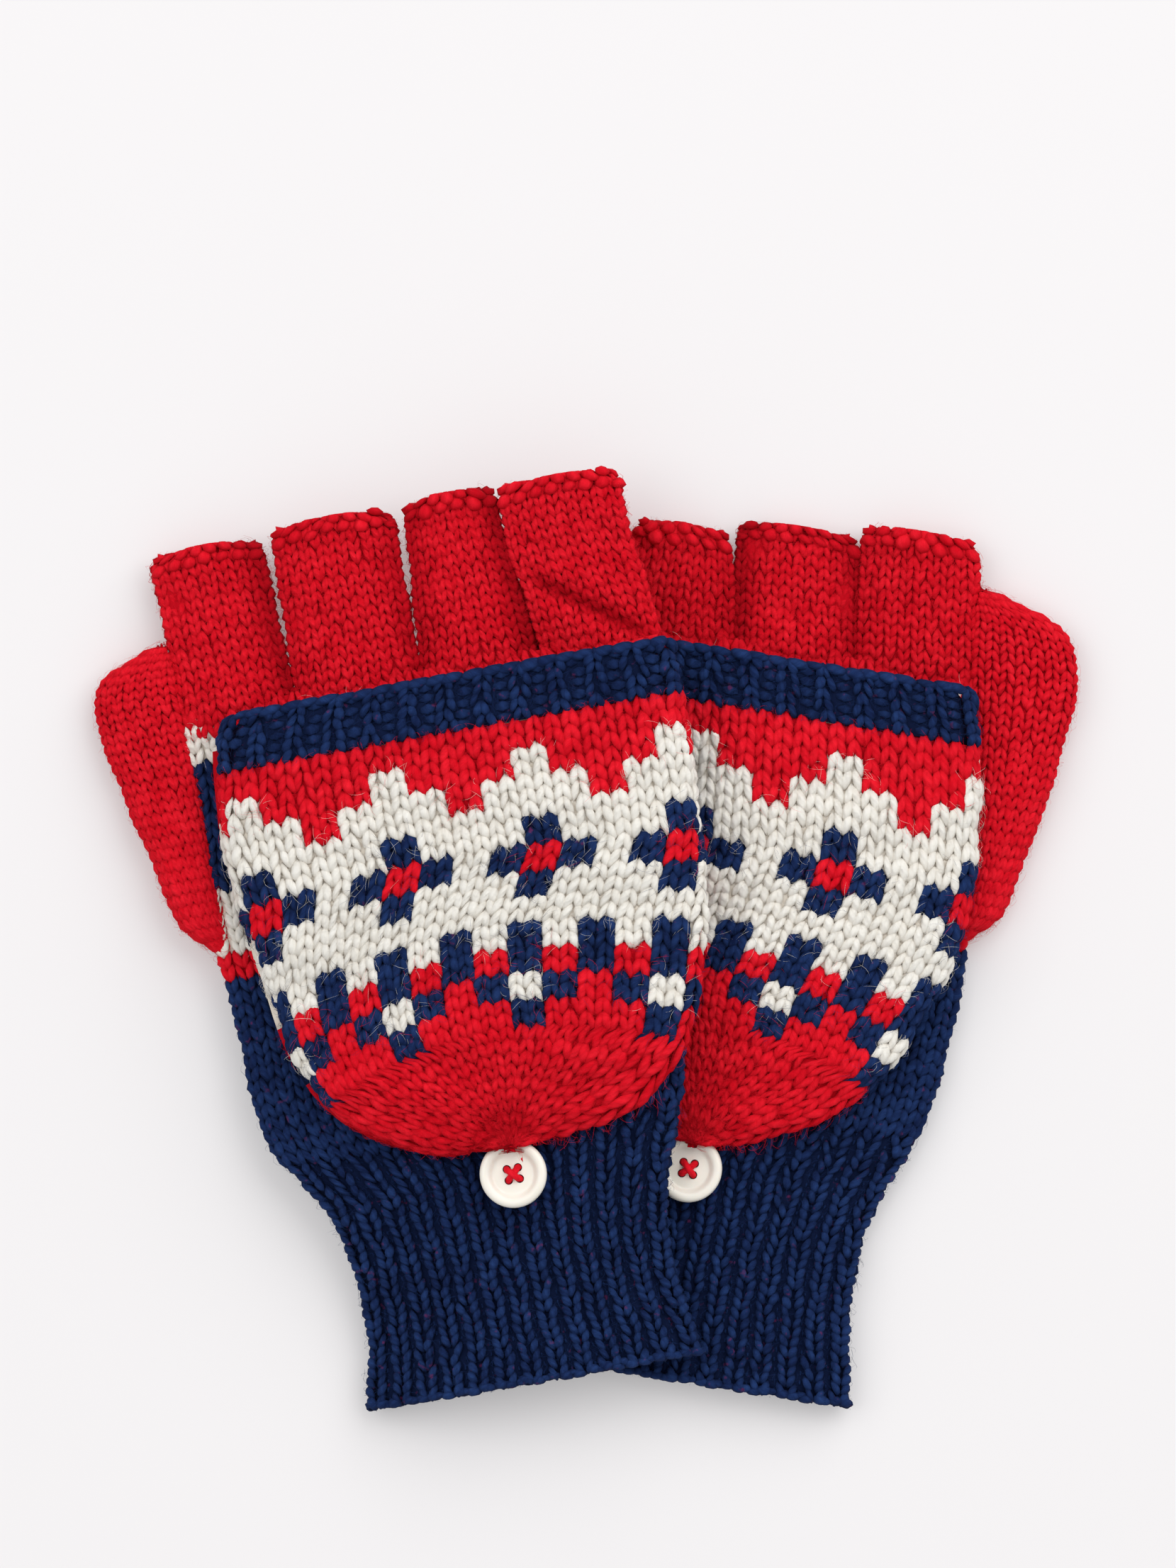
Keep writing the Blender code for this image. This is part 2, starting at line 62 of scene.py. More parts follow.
# ---------------------------------------------------------------- sizes shared with the CAD, in mm
WALL = 1.3
HAND_HEIGHT = 7.5
LAYER_GAP = 0.45
POCKET = 5.4
FLAP_BOTTOM = HAND_HEIGHT + LAYER_GAP
FLAP_TOP = FLAP_BOTTOM + 2 * WALL + POCKET
KNUCKLE_END = 8.0
CUFF_START = -88.0
HINGE_AT = 3.5
HINGE_SLANT = math.radians(4)
HINGE_Z = FLAP_BOTTOM + WALL / 2
RIB_TOP = 6.4
RIB_BOTTOM = -4.3
LEAN = math.radians(7.5)
LEAN_FROM = -92.5
CUFF_REST = 8.8
CUFF_RAMP = (-40.0, -14.0)
CUFF_BEND = (-80.0, -118.0)
BUTTON_RADIUS = 6.35
BUTTON_THICKNESS = 2.6
BUTTON_DISH = 0.58 * BUTTON_THICKNESS
BUTTON_HOLE = 0.8
BUTTON_HOLE_AT = 1.5
SHANK = 2.0
CUFF_THUMB_SIDE = [(-132, -40.5), (-124, -39.2), (-114, -37.6), (-100, -37.8), (-88, -41)]
CUFF_LITTLE_SIDE = [(-132, 26.6), (-124, 25.6), (-114, 23.9), (-100, 23.8), (-88, 27)]
CUFF_END = {"right": -127.5, "left": -131.5}
FINGERS = ("index", "middle", "ring", "little")
RIB_START = -79.0   # the cuff's ribs run up onto the hand as far as this

# ---------------------------------------------------------------- gauge of the knitting
FLAP_WALES = 28
FLAP_ROWS = 33
CROWN_ROW = 23
WEDGES = 7
FINGER_STITCH = 2.65
FINGER_ROW = 2.1
CUFF_ROW = 1.85
HAND_ROW = 2.4
RIB_PITCH = 5.1

# The flap's chart, one repeat of 8 stitches: r red, w white, n navy, from the ribbing to the crown
CHART = (
    ["rrrrrrrr"] * 2
    + ["rrrwwrrr"] * 2
    + ["rwwwwwwr"] * 2
    + ["wwwwwwww"]
    + ["wwwnnwww"] * 2
    + ["wnnrrnnw"] * 2
    + ["wwwnnwww"] * 2
    + ["wwwwwwww"] * 2
    + ["nwwnnwwn"] * 2
    + ["nrrnnrrn"] * 2
    + ["rnnwwnnr"] * 2
    + ["rrrnnrrr"] * 2
    + ["rrrrrrrr"] * 10
)
# The hand's chart by height, from the wrist to the knuckles
HAND_CHART = [(-88, "n"), (-43, "r"), (-37, "w"), (-25, "n"), (-2, "w"), (4, "r")]


def ease(t):
    """Smooth step from 0 to 1."""
    t = np.clip(t, 0.0, 1.0)
    return t * t * (3 - 2 * t)


def along(points, y):
    """Reads x at y from an outline's few (y, x) points, on a smooth curve through them."""
    pts = np.array(sorted(points), float)
    ys, xs = pts[:, 0], pts[:, 1]
    slopes = np.empty(len(ys))
    slopes[1:-1] = (xs[2:] - xs[:-2]) / (ys[2:] - ys[:-2])
    slopes[0] = (xs[1] - xs[0]) / (ys[1] - ys[0])
    slopes[-1] = (xs[-1] - xs[-2]) / (ys[-1] - ys[-2])
    y = np.asarray(y, float)
    i = np.clip(np.searchsorted(ys, y, side="right") - 1, 0, len(ys) - 2)
    span = ys[i + 1] - ys[i]
    t = np.clip((y - ys[i]) / span, 0, 1)
    return ((2 * t**3 - 3 * t**2 + 1) * xs[i] + (t**3 - 2 * t**2 + t) * span * slopes[i]
            + (3 * t**2 - 2 * t**3) * xs[i + 1] + (t**3 - t**2) * span * slopes[i + 1])


@dataclass
class Glove:
    """One glove's outlines, its place and how its pattern lies. Outlines are (y, x) points."""

    name: str
    mirror: int
    turn: float
    at: tuple
    thumb_side: list
    little_side: list
    finger_base: list
    finger_top: list
    finger_ends: list
    thumb_outer: list
    thumb_inner: list
    flap_thumb_side: list
    flap_little_side: list
    tip: float
    button: tuple
    row_places: list      # (row, y) down the middle of the flap
    pattern_middle: int   # the wale, from the flap's middle, on which a flower is centred
    drift: list           # (row, wales) by which the pattern slides sideways
    lowered: list         # how far each finger lies below the hand's back, in mm
    parted: list          # how far each finger's edges part from their neighbours at their ends, in mm
    shaded: list          # how much painted shade darkens each finger's (left, right) edges, from 0 to 1
    lean_in: float        # how far the flap's thumb side rolls in over the flap

    def flat(self, x, y):
        """The point's place on the table."""
        x = x * self.mirror
        c, s = math.cos(math.radians(self.turn)), math.sin(math.radians(self.turn))
        return self.at[0] + x * c - y * s, self.at[1] + x * s + y * c

    def place(self, x, y, z):
        """The points' places in the shared frame, in metres."""
        x, y, z = np.broadcast_arrays(*(np.asarray(v, float) for v in (x, y, z)))
        wx, wy = self.flat(x, y)
        if self.name == "right":
            reach = wx - LEAN_FROM
            lean_height = reach * math.sin(LEAN)
            rest = CUFF_REST * ease((wx - CUFF_RAMP[0]) / (CUFF_RAMP[1] - CUFF_RAMP[0]))
            bend = ease((y - CUFF_BEND[0]) / (CUFF_BEND[1] - CUFF_BEND[0]))
            wx = LEAN_FROM + reach * math.cos(LEAN) - z * math.sin(LEAN)
            z = lean_height + z * math.cos(LEAN) - (lean_height - rest) * bend
        else:
            z = z * self.pressed(wx, y)
        return np.stack([wx, wy, z], -1) * MM + SHIFT

    def pressed(self, wx, y):
        """How much of its height the left glove keeps under the right one."""
        room = (wx - LEAN_FROM) * math.tan(LEAN) - 0.45
        kept = np.minimum(1.0, room / FLAP_TOP)
        kept = kept + (1 - kept) * ease((wx - 20) / 14)
        zone = ease((y + 104) / 16) * ease((KNUCKLE_END + 14 - y) / 14)
        return 1 - (1 - kept) * zone


RIGHT = Glove(
    name="right", mirror=1, turn=10, at=(-23.9, 14.1),
    thumb_side=[(-88, -41), (-79, -47.3), (-70, -50.6), (-50, -51.9), (-32, -53), (-12, -52.2), (8, -51.8)],
    little_side=[(-88, 27), (-80, 30), (-62, 34.5), (-45, 39.5), (-20, 42.5), (0, 41.5), (8, 38.5)],
    finger_base=[-51.8, -29.2, -5.0, 15.0, 38.4],
    finger_top=[-53.3, -29.6, -3.9, 14.9, 39.0],
    finger_ends=[38.2, 39.4, 39.8, 39.4],
    thumb_outer=[
        (-35, -58.2), (-30, -59.2), (-20, -61.4), (-8, -64.6), (4, -67.2), (11, -67.9), (16, -65.6),
        (19.4, -60.5),
    ],
    thumb_inner=[(-35, -54.0), (-20, -54.4), (0, -54.8), (19.4, -56.0)],
    flap_thumb_side=[
        (-80.9, -9), (-79.4, -19), (-74.5, -32), (-62, -41.3), (-44, -45.0), (-19, -48.0), (0, -46.0),
        (6.4, -43.0),
    ],
    flap_little_side=[
        (-80.9, 8), (-79.8, 18), (-76, 27.5), (-67, 34.9), (-50.5, 40.6), (-22, 43.8), (0, 44.2),
        (6.4, 44.0),
    ],
    tip=-80.9, button=(-3.2, -87.7),
    row_places=[(0, -4.65), (10, -29.9), (20, -53.0), (23, -60.7), (33, -80.9)],
    pattern_middle=4, drift=[(0, 0.4), (9, 0.6), (15, -1.4), (20, -1.8), (33, -1.6)], lean_in=1.2,
    lowered=[2.0, 1.4, 0.8, -0.1], parted=[0.1, 0.15, 0.15, -0.7, 0.0],
    shaded=[(0.0, 0.75), (0.2, 0.45), (0.45, 0.85), (0.0, 0.0)],
)
LEFT = Glove(
    name="left", mirror=-1, turn=-9, at=(30.6, 18.4),
    thumb_side=[
        (-88, -41.5), (-78, -45.2), (-70, -46.7), (-56, -48.4), (-40, -48.3), (-25, -48.4), (0, -43.6),
        (8, -42.4),
    ],
    little_side=[(-88, 27), (-80, 30), (-62, 34.5), (-45, 39.5), (-20, 42.5), (0, 42.5), (8, 43.5)],
    finger_base=[-42.4, -19.0, 4.6, 25.2, 43.6],
    finger_top=[-39.2, -16.0, 7.8, 27.2, 45.5],
    finger_ends=[33.4, 30.8, 28.0, 26.5],
    thumb_outer=[
        (-39, -53.4), (-34, -54.2), (-22, -56.8), (-8, -59.4), (4, -61.0), (13, -60.6), (19, -56.8),
        (22.8, -49.5),
    ],
    thumb_inner=[(-39, -49.2), (-25, -49.6), (0, -45.6), (12, -43.6), (22.8, -43.4)],
    flap_thumb_side=[
        (-84.5, -8), (-82.5, -17), (-78.5, -27), (-65, -38.2), (-46, -45.6), (-27, -47.3), (-6, -44.8),
        (6.4, -41.5),
    ],
    flap_little_side=[
        (-84.5, 5), (-80, 17), (-68, 30.3), (-51, 38.5), (-22, 43.6), (0, 44.2), (6.4, 44.0),
    ],
    tip=-84.5, button=(-2.5, -91.2),
    row_places=[(0, -4.65), (10, -32.2), (20, -56.0), (23, -63.0), (33, -84.5)],
    pattern_middle=3, drift=[(0, -0.5), (9, -0.5), (20, 1.4), (33, 1.4)], lean_in=0.0,
    lowered=[0.0, 1.9, 0.8, 1.8], parted=[0.1, -0.8, -0.6, -0.5, 0.0],
    shaded=[(0.0, 0.2), (0.55, 0.9), (0.35, 0.3), (0.0, 0.0)],
)


def frame_shift():
    """What carries the gloves' own places to the frame's, read from where the left button lies."""
    low, high = (np.array(v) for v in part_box("left_button"))
    x, y = LEFT.flat(*(np.array(v, float) for v in LEFT.button))
    middle = (low + high) / 2
    return np.array([middle[0] - x * MM, middle[1] - y * MM, 0.0])


SHIFT = frame_shift()

# ---------------------------------------------------------------- materials
COLOURS = {
    "r": (0.67, 0.0012, 0.011),
    "n": (0.0042, 0.0130, 0.062),
    "w": (0.84, 0.81, 0.74),
}
FLECKS = {
    "r": (0.95, 0.016, 0.034),
    "n": (0.018, 0.050, 0.175),
    "w": (0.90, 0.885, 0.84),
}
# painted shade: the darker colour that each wool takes where its yarn dips down between the stitches
DEEP_SHADE = {
    "r": (0.33, 0.0, 0.005),
    "n": (0.0003, 0.0008, 0.004),
    "w": (0.70, 0.60, 0.49),
}
SHEEN = {"r": 0.10, "n": 0.10, "w": 0.15}
NAMES = {"r": "red", "n": "navy", "w": "white"}
PLIES = 3.0
LEAST_DEPTH = 0.45   # the depth attribute at a stitch's root, where the painted shade is strongest; the painted shade in the valleys between fingers takes it below this
MATERIALS = {}


def set_inputs(node, values):
    """Sets the node's inputs, by name or number."""
    for key, value in values.items():
        node.inputs[key].default_value = value


def add_node(tree, kind, inputs=None, links=None, **attributes):
    """A node with the given attributes, input values and links into its inputs."""
    node = tree.nodes.new(kind)
    for key, value in attributes.items():
        setattr(node, key, value)
    set_inputs(node, inputs or {})
    for key, socket in (links or {}).items():
        tree.links.new(socket, node.inputs[key])
    return node


def fed(values):
    """Splits inputs into the constant ones and the ones that a socket feeds."""
    links = {key: value for key, value in values.items() if isinstance(value, bpy.types.NodeSocket)}
    return {"inputs": {key: value for key, value in values.items() if key not in links}, "links": links}


def maths(tree, operation, *values):
    """A maths node's output, from sockets or numbers."""
    return add_node(tree, "ShaderNodeMath", **fed(dict(enumerate(values))), operation=operation).outputs[0]


def mix(tree, factor, a, b):
    """A colour mixed from a and b, each a socket or a colour."""
    a, b = (v if isinstance(v, bpy.types.NodeSocket) else (*v, 1) for v in (a, b))
    return add_node(tree, "ShaderNodeMix", **fed({0: factor, 6: a, 7: b}), data_type="RGBA").outputs[2]


def noise(tree, vector, **inputs):
    """A noise texture's value."""
    return add_node(tree, "ShaderNodeTexNoise", inputs, {"Vector": vector}).outputs["Fac"]


def new_material(name, **inputs):
    """A material with these inputs on its shader, and its node tree and shader."""
    mat = bpy.data.materials.new(name)
    mat.use_nodes = True
    shader = mat.node_tree.nodes["Principled BSDF"]
    set_inputs(shader, {key.replace("_", " "): value for key, value in inputs.items()})
    return mat, mat.node_tree, shader


def wool(colour):
    """Plied wool of one colour: twisted plies, loose fibres, and flecks of a lighter shade."""
    if colour in MATERIALS:
        return MATERIALS[colour]
    mat, tree, shader = new_material(
        f"wool_{NAMES[colour]}", Roughness=0.92, Specular_IOR_Level=0.12, Sheen_Weight=SHEEN[colour],
        Sheen_Roughness=0.45, Sheen_Tint=(*FLECKS[colour], 1))
    uv = add_node(tree, "ShaderNodeUVMap", uv_map="yarn")
    around, ahead, _ = add_node(tree, "ShaderNodeSeparateXYZ", links={0: uv.outputs[0]}).outputs
    twist = maths(tree, "ADD", maths(tree, "MULTIPLY", around, PLIES), ahead)
    plies = maths(tree, "SINE", maths(tree, "MULTIPLY", twist, 2 * math.pi))

    # fibres run along the twisted plies, and differ from place to place
    place = add_node(tree, "ShaderNodeTexCoord").outputs["Object"]
    strand = add_node(tree, "ShaderNodeCombineXYZ", links={
        0: maths(tree, "MULTIPLY", twist, 5.0), 1: maths(tree, "MULTIPLY", ahead, 1.1)})
    apart = add_node(tree, "ShaderNodeVectorMath", {1: (160, 160, 160)}, {0: place, 2: strand.outputs[0]},
                     operation="MULTIPLY_ADD")
    fibres = noise(tree, apart.outputs[0], Scale=2.6, Detail=3, Roughness=0.7)
    cloud = noise(tree, place, Scale=260, Detail=4)

    depth, tone = (add_node(tree, "ShaderNodeAttribute", attribute_name=name).outputs["Fac"]
                   for name in ("depth", "tone"))
    # painted shade: where the depth attribute is low, the colour mixes towards the darker shade colour
    base = mix(tree, depth, DEEP_SHADE[colour], COLOURS[colour])
    lift = maths(tree, "MULTIPLY", maths(tree, "MULTIPLY", fibres, cloud), 2.4)
    lift = maths(tree, "ADD", lift, maths(tree, "MULTIPLY", plies, 0.10))
    lift = maths(tree, "ADD", lift, maths(tree, "MULTIPLY", tone, 0.35))
    lift = maths(tree, "SUBTRACT", lift, 0.40)
    open_side = maths(tree, "MULTIPLY", maths(tree, "SUBTRACT", depth, LEAST_DEPTH), 1.8)
    factor = add_node(tree, "ShaderNodeClamp", links={0: maths(tree, "MULTIPLY", lift, open_side)})
    shade = mix(tree, factor.outputs[0], base, FLECKS[colour])
    if colour == "n":
        # tiny flecks of plum
        flecks = noise(tree, place, Scale=620, Detail=2)
        ramp = add_node(tree, "ShaderNodeMapRange", {1: 0.66, 2: 0.78, 3: 0.0, 4: 0.55}, {0: flecks})
        shade = mix(tree, ramp.outputs[0], shade, (0.16, 0.02, 0.09))
    tree.links.new(shade, shader.inputs["Base Color"])

    height = maths(tree, "ADD", maths(tree, "MULTIPLY", plies, 0.45), fibres)
    bump = add_node(tree, "ShaderNodeBump", {"Strength": 0.75, "Distance": 0.00024}, {"Height": height})
    tree.links.new(bump.outputs[0], shader.inputs["Normal"])
    MATERIALS[colour] = mat
    return mat


# ---------------------------------------------------------------- sheets of knitting
PAST_EDGE = 0.5   # how far a stitch may reach past its sheet, in stitches
SOFTNESS = 0.32   # how far the fabric swells and dips, in mm
SWELL_WAVES = (0.016, 0.02, 0.028, 0.036)   # in metres
SWELLS = [(RNG.normal(0, 1, 3) * 2 * np.pi / wave, RNG.random() * 2 * np.pi) for wave in SWELL_WAVES]


def swell(points):
    """Slow, soft unevenness of the fabric at each point, from -1 to 1."""
    return sum(np.sin(points @ wave + phase) for wave, phase in SWELLS) / len(SWELLS) * 1.4


class Sheet:
    """A curved sheet that stitches lie on: u counts wales across it and v counts rows along it.

    points is a grid in the shared frame, evenly spaced in v down the rows and in u along the columns.
    """

    def __init__(self, points, wales, rows, closed=False, out=None):
        self.wales, self.rows, self.closed = wales, rows, closed
        along_v = np.gradient(points, axis=0)
        if closed:
            wrapped = np.concatenate([points[:, -2:-1], points, points[:, 1:2]], axis=1)
            along_u = np.gradient(wrapped, axis=1)[:, 1:-1]
        else:
            along_u = np.gradient(points, axis=1)
        self.step_u = np.linalg.norm(along_u, axis=-1) * (points.shape[1] - 1) / wales
        self.step_v = np.linalg.norm(along_v, axis=-1) * (points.shape[0] - 1) / rows
        normals = np.cross(along_u, along_v)
        normals = normals / np.maximum(np.linalg.norm(normals, axis=-1, keepdims=True), 1e-12)
        if out is None:
            out = points - points.mean(axis=1, keepdims=True)
        facing = (normals * out).sum()
        self.inside_out = facing <= 0
        self.normals = -normals if self.inside_out else normals
        self.light = np.ones(points.shape[:2])   # less than 1 where the fabric lies in shade
        self.points = points + self.normals * (swell(points) * SOFTNESS * MM)[..., None]

    def read(self, table, u, v):
        """The table's value at each (u, v), which may lie a little past an edge."""
        rows, columns = table.shape[:2]
        u = np.mod(u, self.wales) if self.closed else np.clip(u, -PAST_EDGE, self.wales + PAST_EDGE)
        v = np.clip(v, -PAST_EDGE, self.rows + PAST_EDGE)
        i = v / self.rows * (rows - 1)
        j = u / self.wales * (columns - 1)
        i0 = np.clip(np.floor(i).astype(int), 0, rows - 2)
        j0 = np.clip(np.floor(j).astype(int), 0, columns - 2)
        fi, fj = i - i0, j - j0
        if table.ndim == 3:
            fi, fj = fi[..., None], fj[..., None]
        return (table[i0, j0] * (1 - fi) * (1 - fj) + table[i0 + 1, j0] * fi * (1 - fj)
                + table[i0, j0 + 1] * (1 - fi) * fj + table[i0 + 1, j0 + 1] * fi * fj)

    def steps(self, u, v):
        """The size of a stitch at each (u, v), in mm: (wale, row)."""
        size = np.stack([self.read(self.step_u, u, v), self.read(self.step_v, u, v)], -1) / MM
        return np.maximum(size, 0.3)

    def at(self, u, v, h):
        """The point h millimetres above the sheet at (u, v)."""
        return self.read(self.points, u, v) + self.read(self.normals, u, v) * (h * MM)[..., None]


def add_object(name, data):
    """A new object of the scene."""
    obj = bpy.data.objects.new(name, data)
    bpy.context.scene.collection.objects.link(obj)
    return obj


class Yarn:
    """Gathers the lobes and fibres of one piece, and makes its mesh."""

    def __init__(self):
        self.parts = []
        self.count = 0

    def add(self, verts, quads, tris, quad_uvs, tri_uvs, depth, tone):
        """Adds points, each with its depth and tone, and faces that count from the first of them."""
        self.parts.append((
            verts.reshape(-1, 3), quads.reshape(-1, 4) + self.count, tris.reshape(-1, 3) + self.count,
            quad_uvs.reshape(-1, 2), tri_uvs.reshape(-1, 2), depth.ravel(), tone.ravel(),
        ))
        self.count += len(self.parts[-1][0])

    def mesh(self, name, material):
        """The piece, as one object."""
        verts, quads, tris, quad_uvs, tri_uvs, depth, tone = (np.concatenate(p) for p in zip(*self.parts))
        # the wool lies flat on the table
        verts[:, 2] = np.maximum(verts[:, 2], 0.05 * MM)
        uvs = np.concatenate([quad_uvs, tri_uvs])
        mesh = bpy.data.meshes.new(name)
        mesh.vertices.add(len(verts))
        mesh.vertices.foreach_set("co", verts.astype(np.float32).ravel())
        loops = np.concatenate([quads.ravel(), tris.ravel()])
        mesh.loops.add(len(loops))
        mesh.loops.foreach_set("vertex_index", loops.astype(np.int32))
        sizes = np.concatenate([np.full(len(quads), 4), np.full(len(tris), 3)])
        starts = np.concatenate([[0], np.cumsum(sizes)[:-1]])
        mesh.polygons.add(len(sizes))
        mesh.polygons.foreach_set("loop_start", starts.astype(np.int32))
        mesh.update(calc_edges=True)
        layer = mesh.uv_layers.new(name="yarn")
        layer.uv.foreach_set("vector", uvs.astype(np.float32).ravel())
        for key, values in (("depth", depth), ("tone", tone)):
            attribute = mesh.attributes.new(key, "FLOAT", "POINT")
            attribute.data.foreach_set("value", values.astype(np.float32))
        mesh.validate()
        mesh.shade_smooth()
        mesh.materials.append(material)
        return add_object(name, mesh)


def cells(rows, wales):
    """Every cell's row and wale."""
    return np.meshgrid(np.arange(rows), np.arange(wales), indexing="ij")


def lobe_faces(rings, sides):
    """The faces of one lobe: quads between its rings, and a fan at each tip."""
    k, j = (part.ravel() for part in cells(rings - 1, sides))
    following = (j + 1) % sides
    quads = np.stack([k * sides + j, k * sides + following, (k + 1) * sides + following,
                      (k + 1) * sides + j], -1)
    quad_side = np.stack([j, j + 1, j + 1, j], -1)
    quad_ring = np.stack([k, k, k + 1, k + 1], -1)
    j = np.arange(sides)
    following = (j + 1) % sides
    first, last = rings * sides, rings * sides + 1
    top = (rings - 1) * sides
    tris = np.concatenate([
        np.stack([np.full(sides, first), following, j], -1),
        np.stack([np.full(sides, last), top + j, top + following], -1),
    ])
    tri_side = np.concatenate([np.stack([j + 0.5, j + 1, j], -1), np.stack([j + 0.5, j, j + 1], -1)])
    tri_ring = np.repeat([[-1, 0, 0], [rings, rings - 1, rings - 1]], sides, axis=0)
    return quads, tris, (quad_side, quad_ring), (tri_side, tri_ring)


def add_tubes(yarn, sheet, places, tips, uv_of, depth_of, tone):
    """Adds closed tubes that lie on the sheet, from the (u, v, h) of their rings and of their two ends."""
    count, rings, sides = places[0].shape
    u, v, h = (np.concatenate([place.reshape(count, -1), tip], 1) for place, tip in zip(places, tips))
    quads, tris, quad_place, tri_place = lobe_faces(rings, sides)
    base = (np.arange(count) * (rings * sides + 2))[:, None, None]
    # painted shade: the sheet's light table darkens the depth attribute
    yarn.add(sheet.at(u, v, h), quads[None] + base, tris[None] + base, uv_of(quad_place), uv_of(tri_place),
             depth_of(h) * sheet.read(sheet.light, u, v), np.broadcast_to(tone[:, None], h.shape))


PLY_PITCH = 2.1   # length of yarn, in mm, over which its pattern of plies moves round by one ply


def add_lobes(yarn, sheet, start, end, width, height, lift, sink, detail, shade=1.0, bow=0.0,
              fullness=0.5):
    """Adds a plump length of yarn from each start to each end, (u, v) pairs on the sheet.

    width and height are its half sizes in mm; its middle rises to lift over the sheet, and its ends
    dip to -sink. detail is its number of rings and sides.
    """
    rings, sides = detail
    count = len(start)
    if not count:
        return
    step = sheet.steps(*((start + end) / 2).T)
    run = (end - start) * step
    length = np.linalg.norm(run, axis=1)
    side = np.stack([-run[:, 1], run[:, 0]], -1) / np.maximum(length, 1e-6)[:, None] / step

    t = (1 - np.cos(np.pi * (np.arange(rings) + 0.75) / (rings + 0.5))) / 2
    angle = 2 * np.pi * (np.arange(sides) / sides) - np.pi / 2
    rise = (np.sin(np.pi * t) ** 0.8)[:, None]
    thick = (1 + 0.10 * RNG.standard_normal(count)).clip(0.8, 1.25)
    sway = 0.05 * RNG.standard_normal((count, 2))

    width, height, lift, sink = (np.broadcast_to(np.asarray(v, float), (count,))[:, None, None]
                                 for v in (width, height, lift, sink))
    round_off = thick[:, None, None] * (np.sin(np.pi * t) ** fullness)[:, None]
    h = (lift + sink) * rise - sink + height * round_off * np.sin(angle)
    across = width * round_off * np.cos(angle) + (bow * np.sin(2 * np.pi * t))[:, None]
    start, end = start + sway, end + sway
    places = [
        (start[:, k, None] + (end - start)[:, k, None] * t)[:, :, None] + across * side[:, k, None, None]
        for k in (0, 1)
    ]
    tips = [np.stack([start[:, k], end[:, k]], 1) for k in (0, 1)]
    sunk = np.broadcast_to(-sink[:, :, 0], (count, 2))
    offsets = RNG.random(count)
    ring_t = np.concatenate([t, [1.0, 0.0]])  # ring -1 is the first tip, and ring `rings` the last
    reach, low = np.max(lift + height), -np.max(sink)

    def uv_of(place):
        around, ring = place
        ahead = ring_t[ring][None] * (length / PLY_PITCH)[:, None, None] + offsets[:, None, None]
        return np.stack([np.broadcast_to(around / sides, ahead.shape), ahead], -1)

    # painted shade: low where the lobe dips into the fabric, and lower still when shade is below 1
    def depth_of(h):
        return LEAST_DEPTH + (1 - LEAST_DEPTH) * np.clip((h - low) / (reach - low), 0, 1) * shade

    add_tubes(yarn, sheet, [*places, h], [*tips, sunk], uv_of, depth_of, RNG.random(count))


FIBRE_RADIUS = 0.024


def add_fuzz(yarn, sheet, u, v, length, rise):
    """Adds a loose, curling fibre that leaves the sheet at each (u, v)."""
    count = len(u)
    if not count:
        return
    rings, sides = 3, 3
    turn = RNG.random(count) * 2 * np.pi
    curl = RNG.normal(0, 1.3, count)
    lengths = length * (0.4 + RNG.random(count))
    step = sheet.steps(u, v)
    t = np.linspace(0, 1, rings + 2)
    heading = turn[:, None] + curl[:, None] * t[None]
    top = rise * RNG.random(count) ** 1.5
    end = RNG.random(count)
    h = 0.35 + top[:, None] * (t * (2 - t))[None] * (1 - (t**2)[None] * (1 - end[:, None]))
    angle = 2 * np.pi * np.arange(sides) / sides
    thick = FIBRE_RADIUS * (1 - 0.6 * t[1:-1])[None, :, None]
    places, tips = [], []
    for k, begin, ahead, side in ((0, u, np.cos, lambda a: -np.sin(a)), (1, v, np.sin, np.cos)):
        line = np.cumsum(ahead(heading), 1) / (rings + 2) * lengths[:, None]
        line = begin[:, None] + line / step[:, k, None]
        across = side(heading[:, 1:-1, None]) * np.cos(angle) * thick / step[:, k, None, None]
        places.append(line[:, 1:-1, None] + across)
        tips.append(line[:, [0, -1]])
    places.append(h[:, 1:-1, None] + np.sin(angle) * thick)
    tips.append(h[:, [0, -1]])

    def uv_of(place):
        return np.broadcast_to(place[1][None, ..., None] * 0.1, (count, *place[1].shape, 2))

    add_tubes(yarn, sheet, places, tips, uv_of, np.ones_like, 0.7 + 0.3 * RNG.random(count))


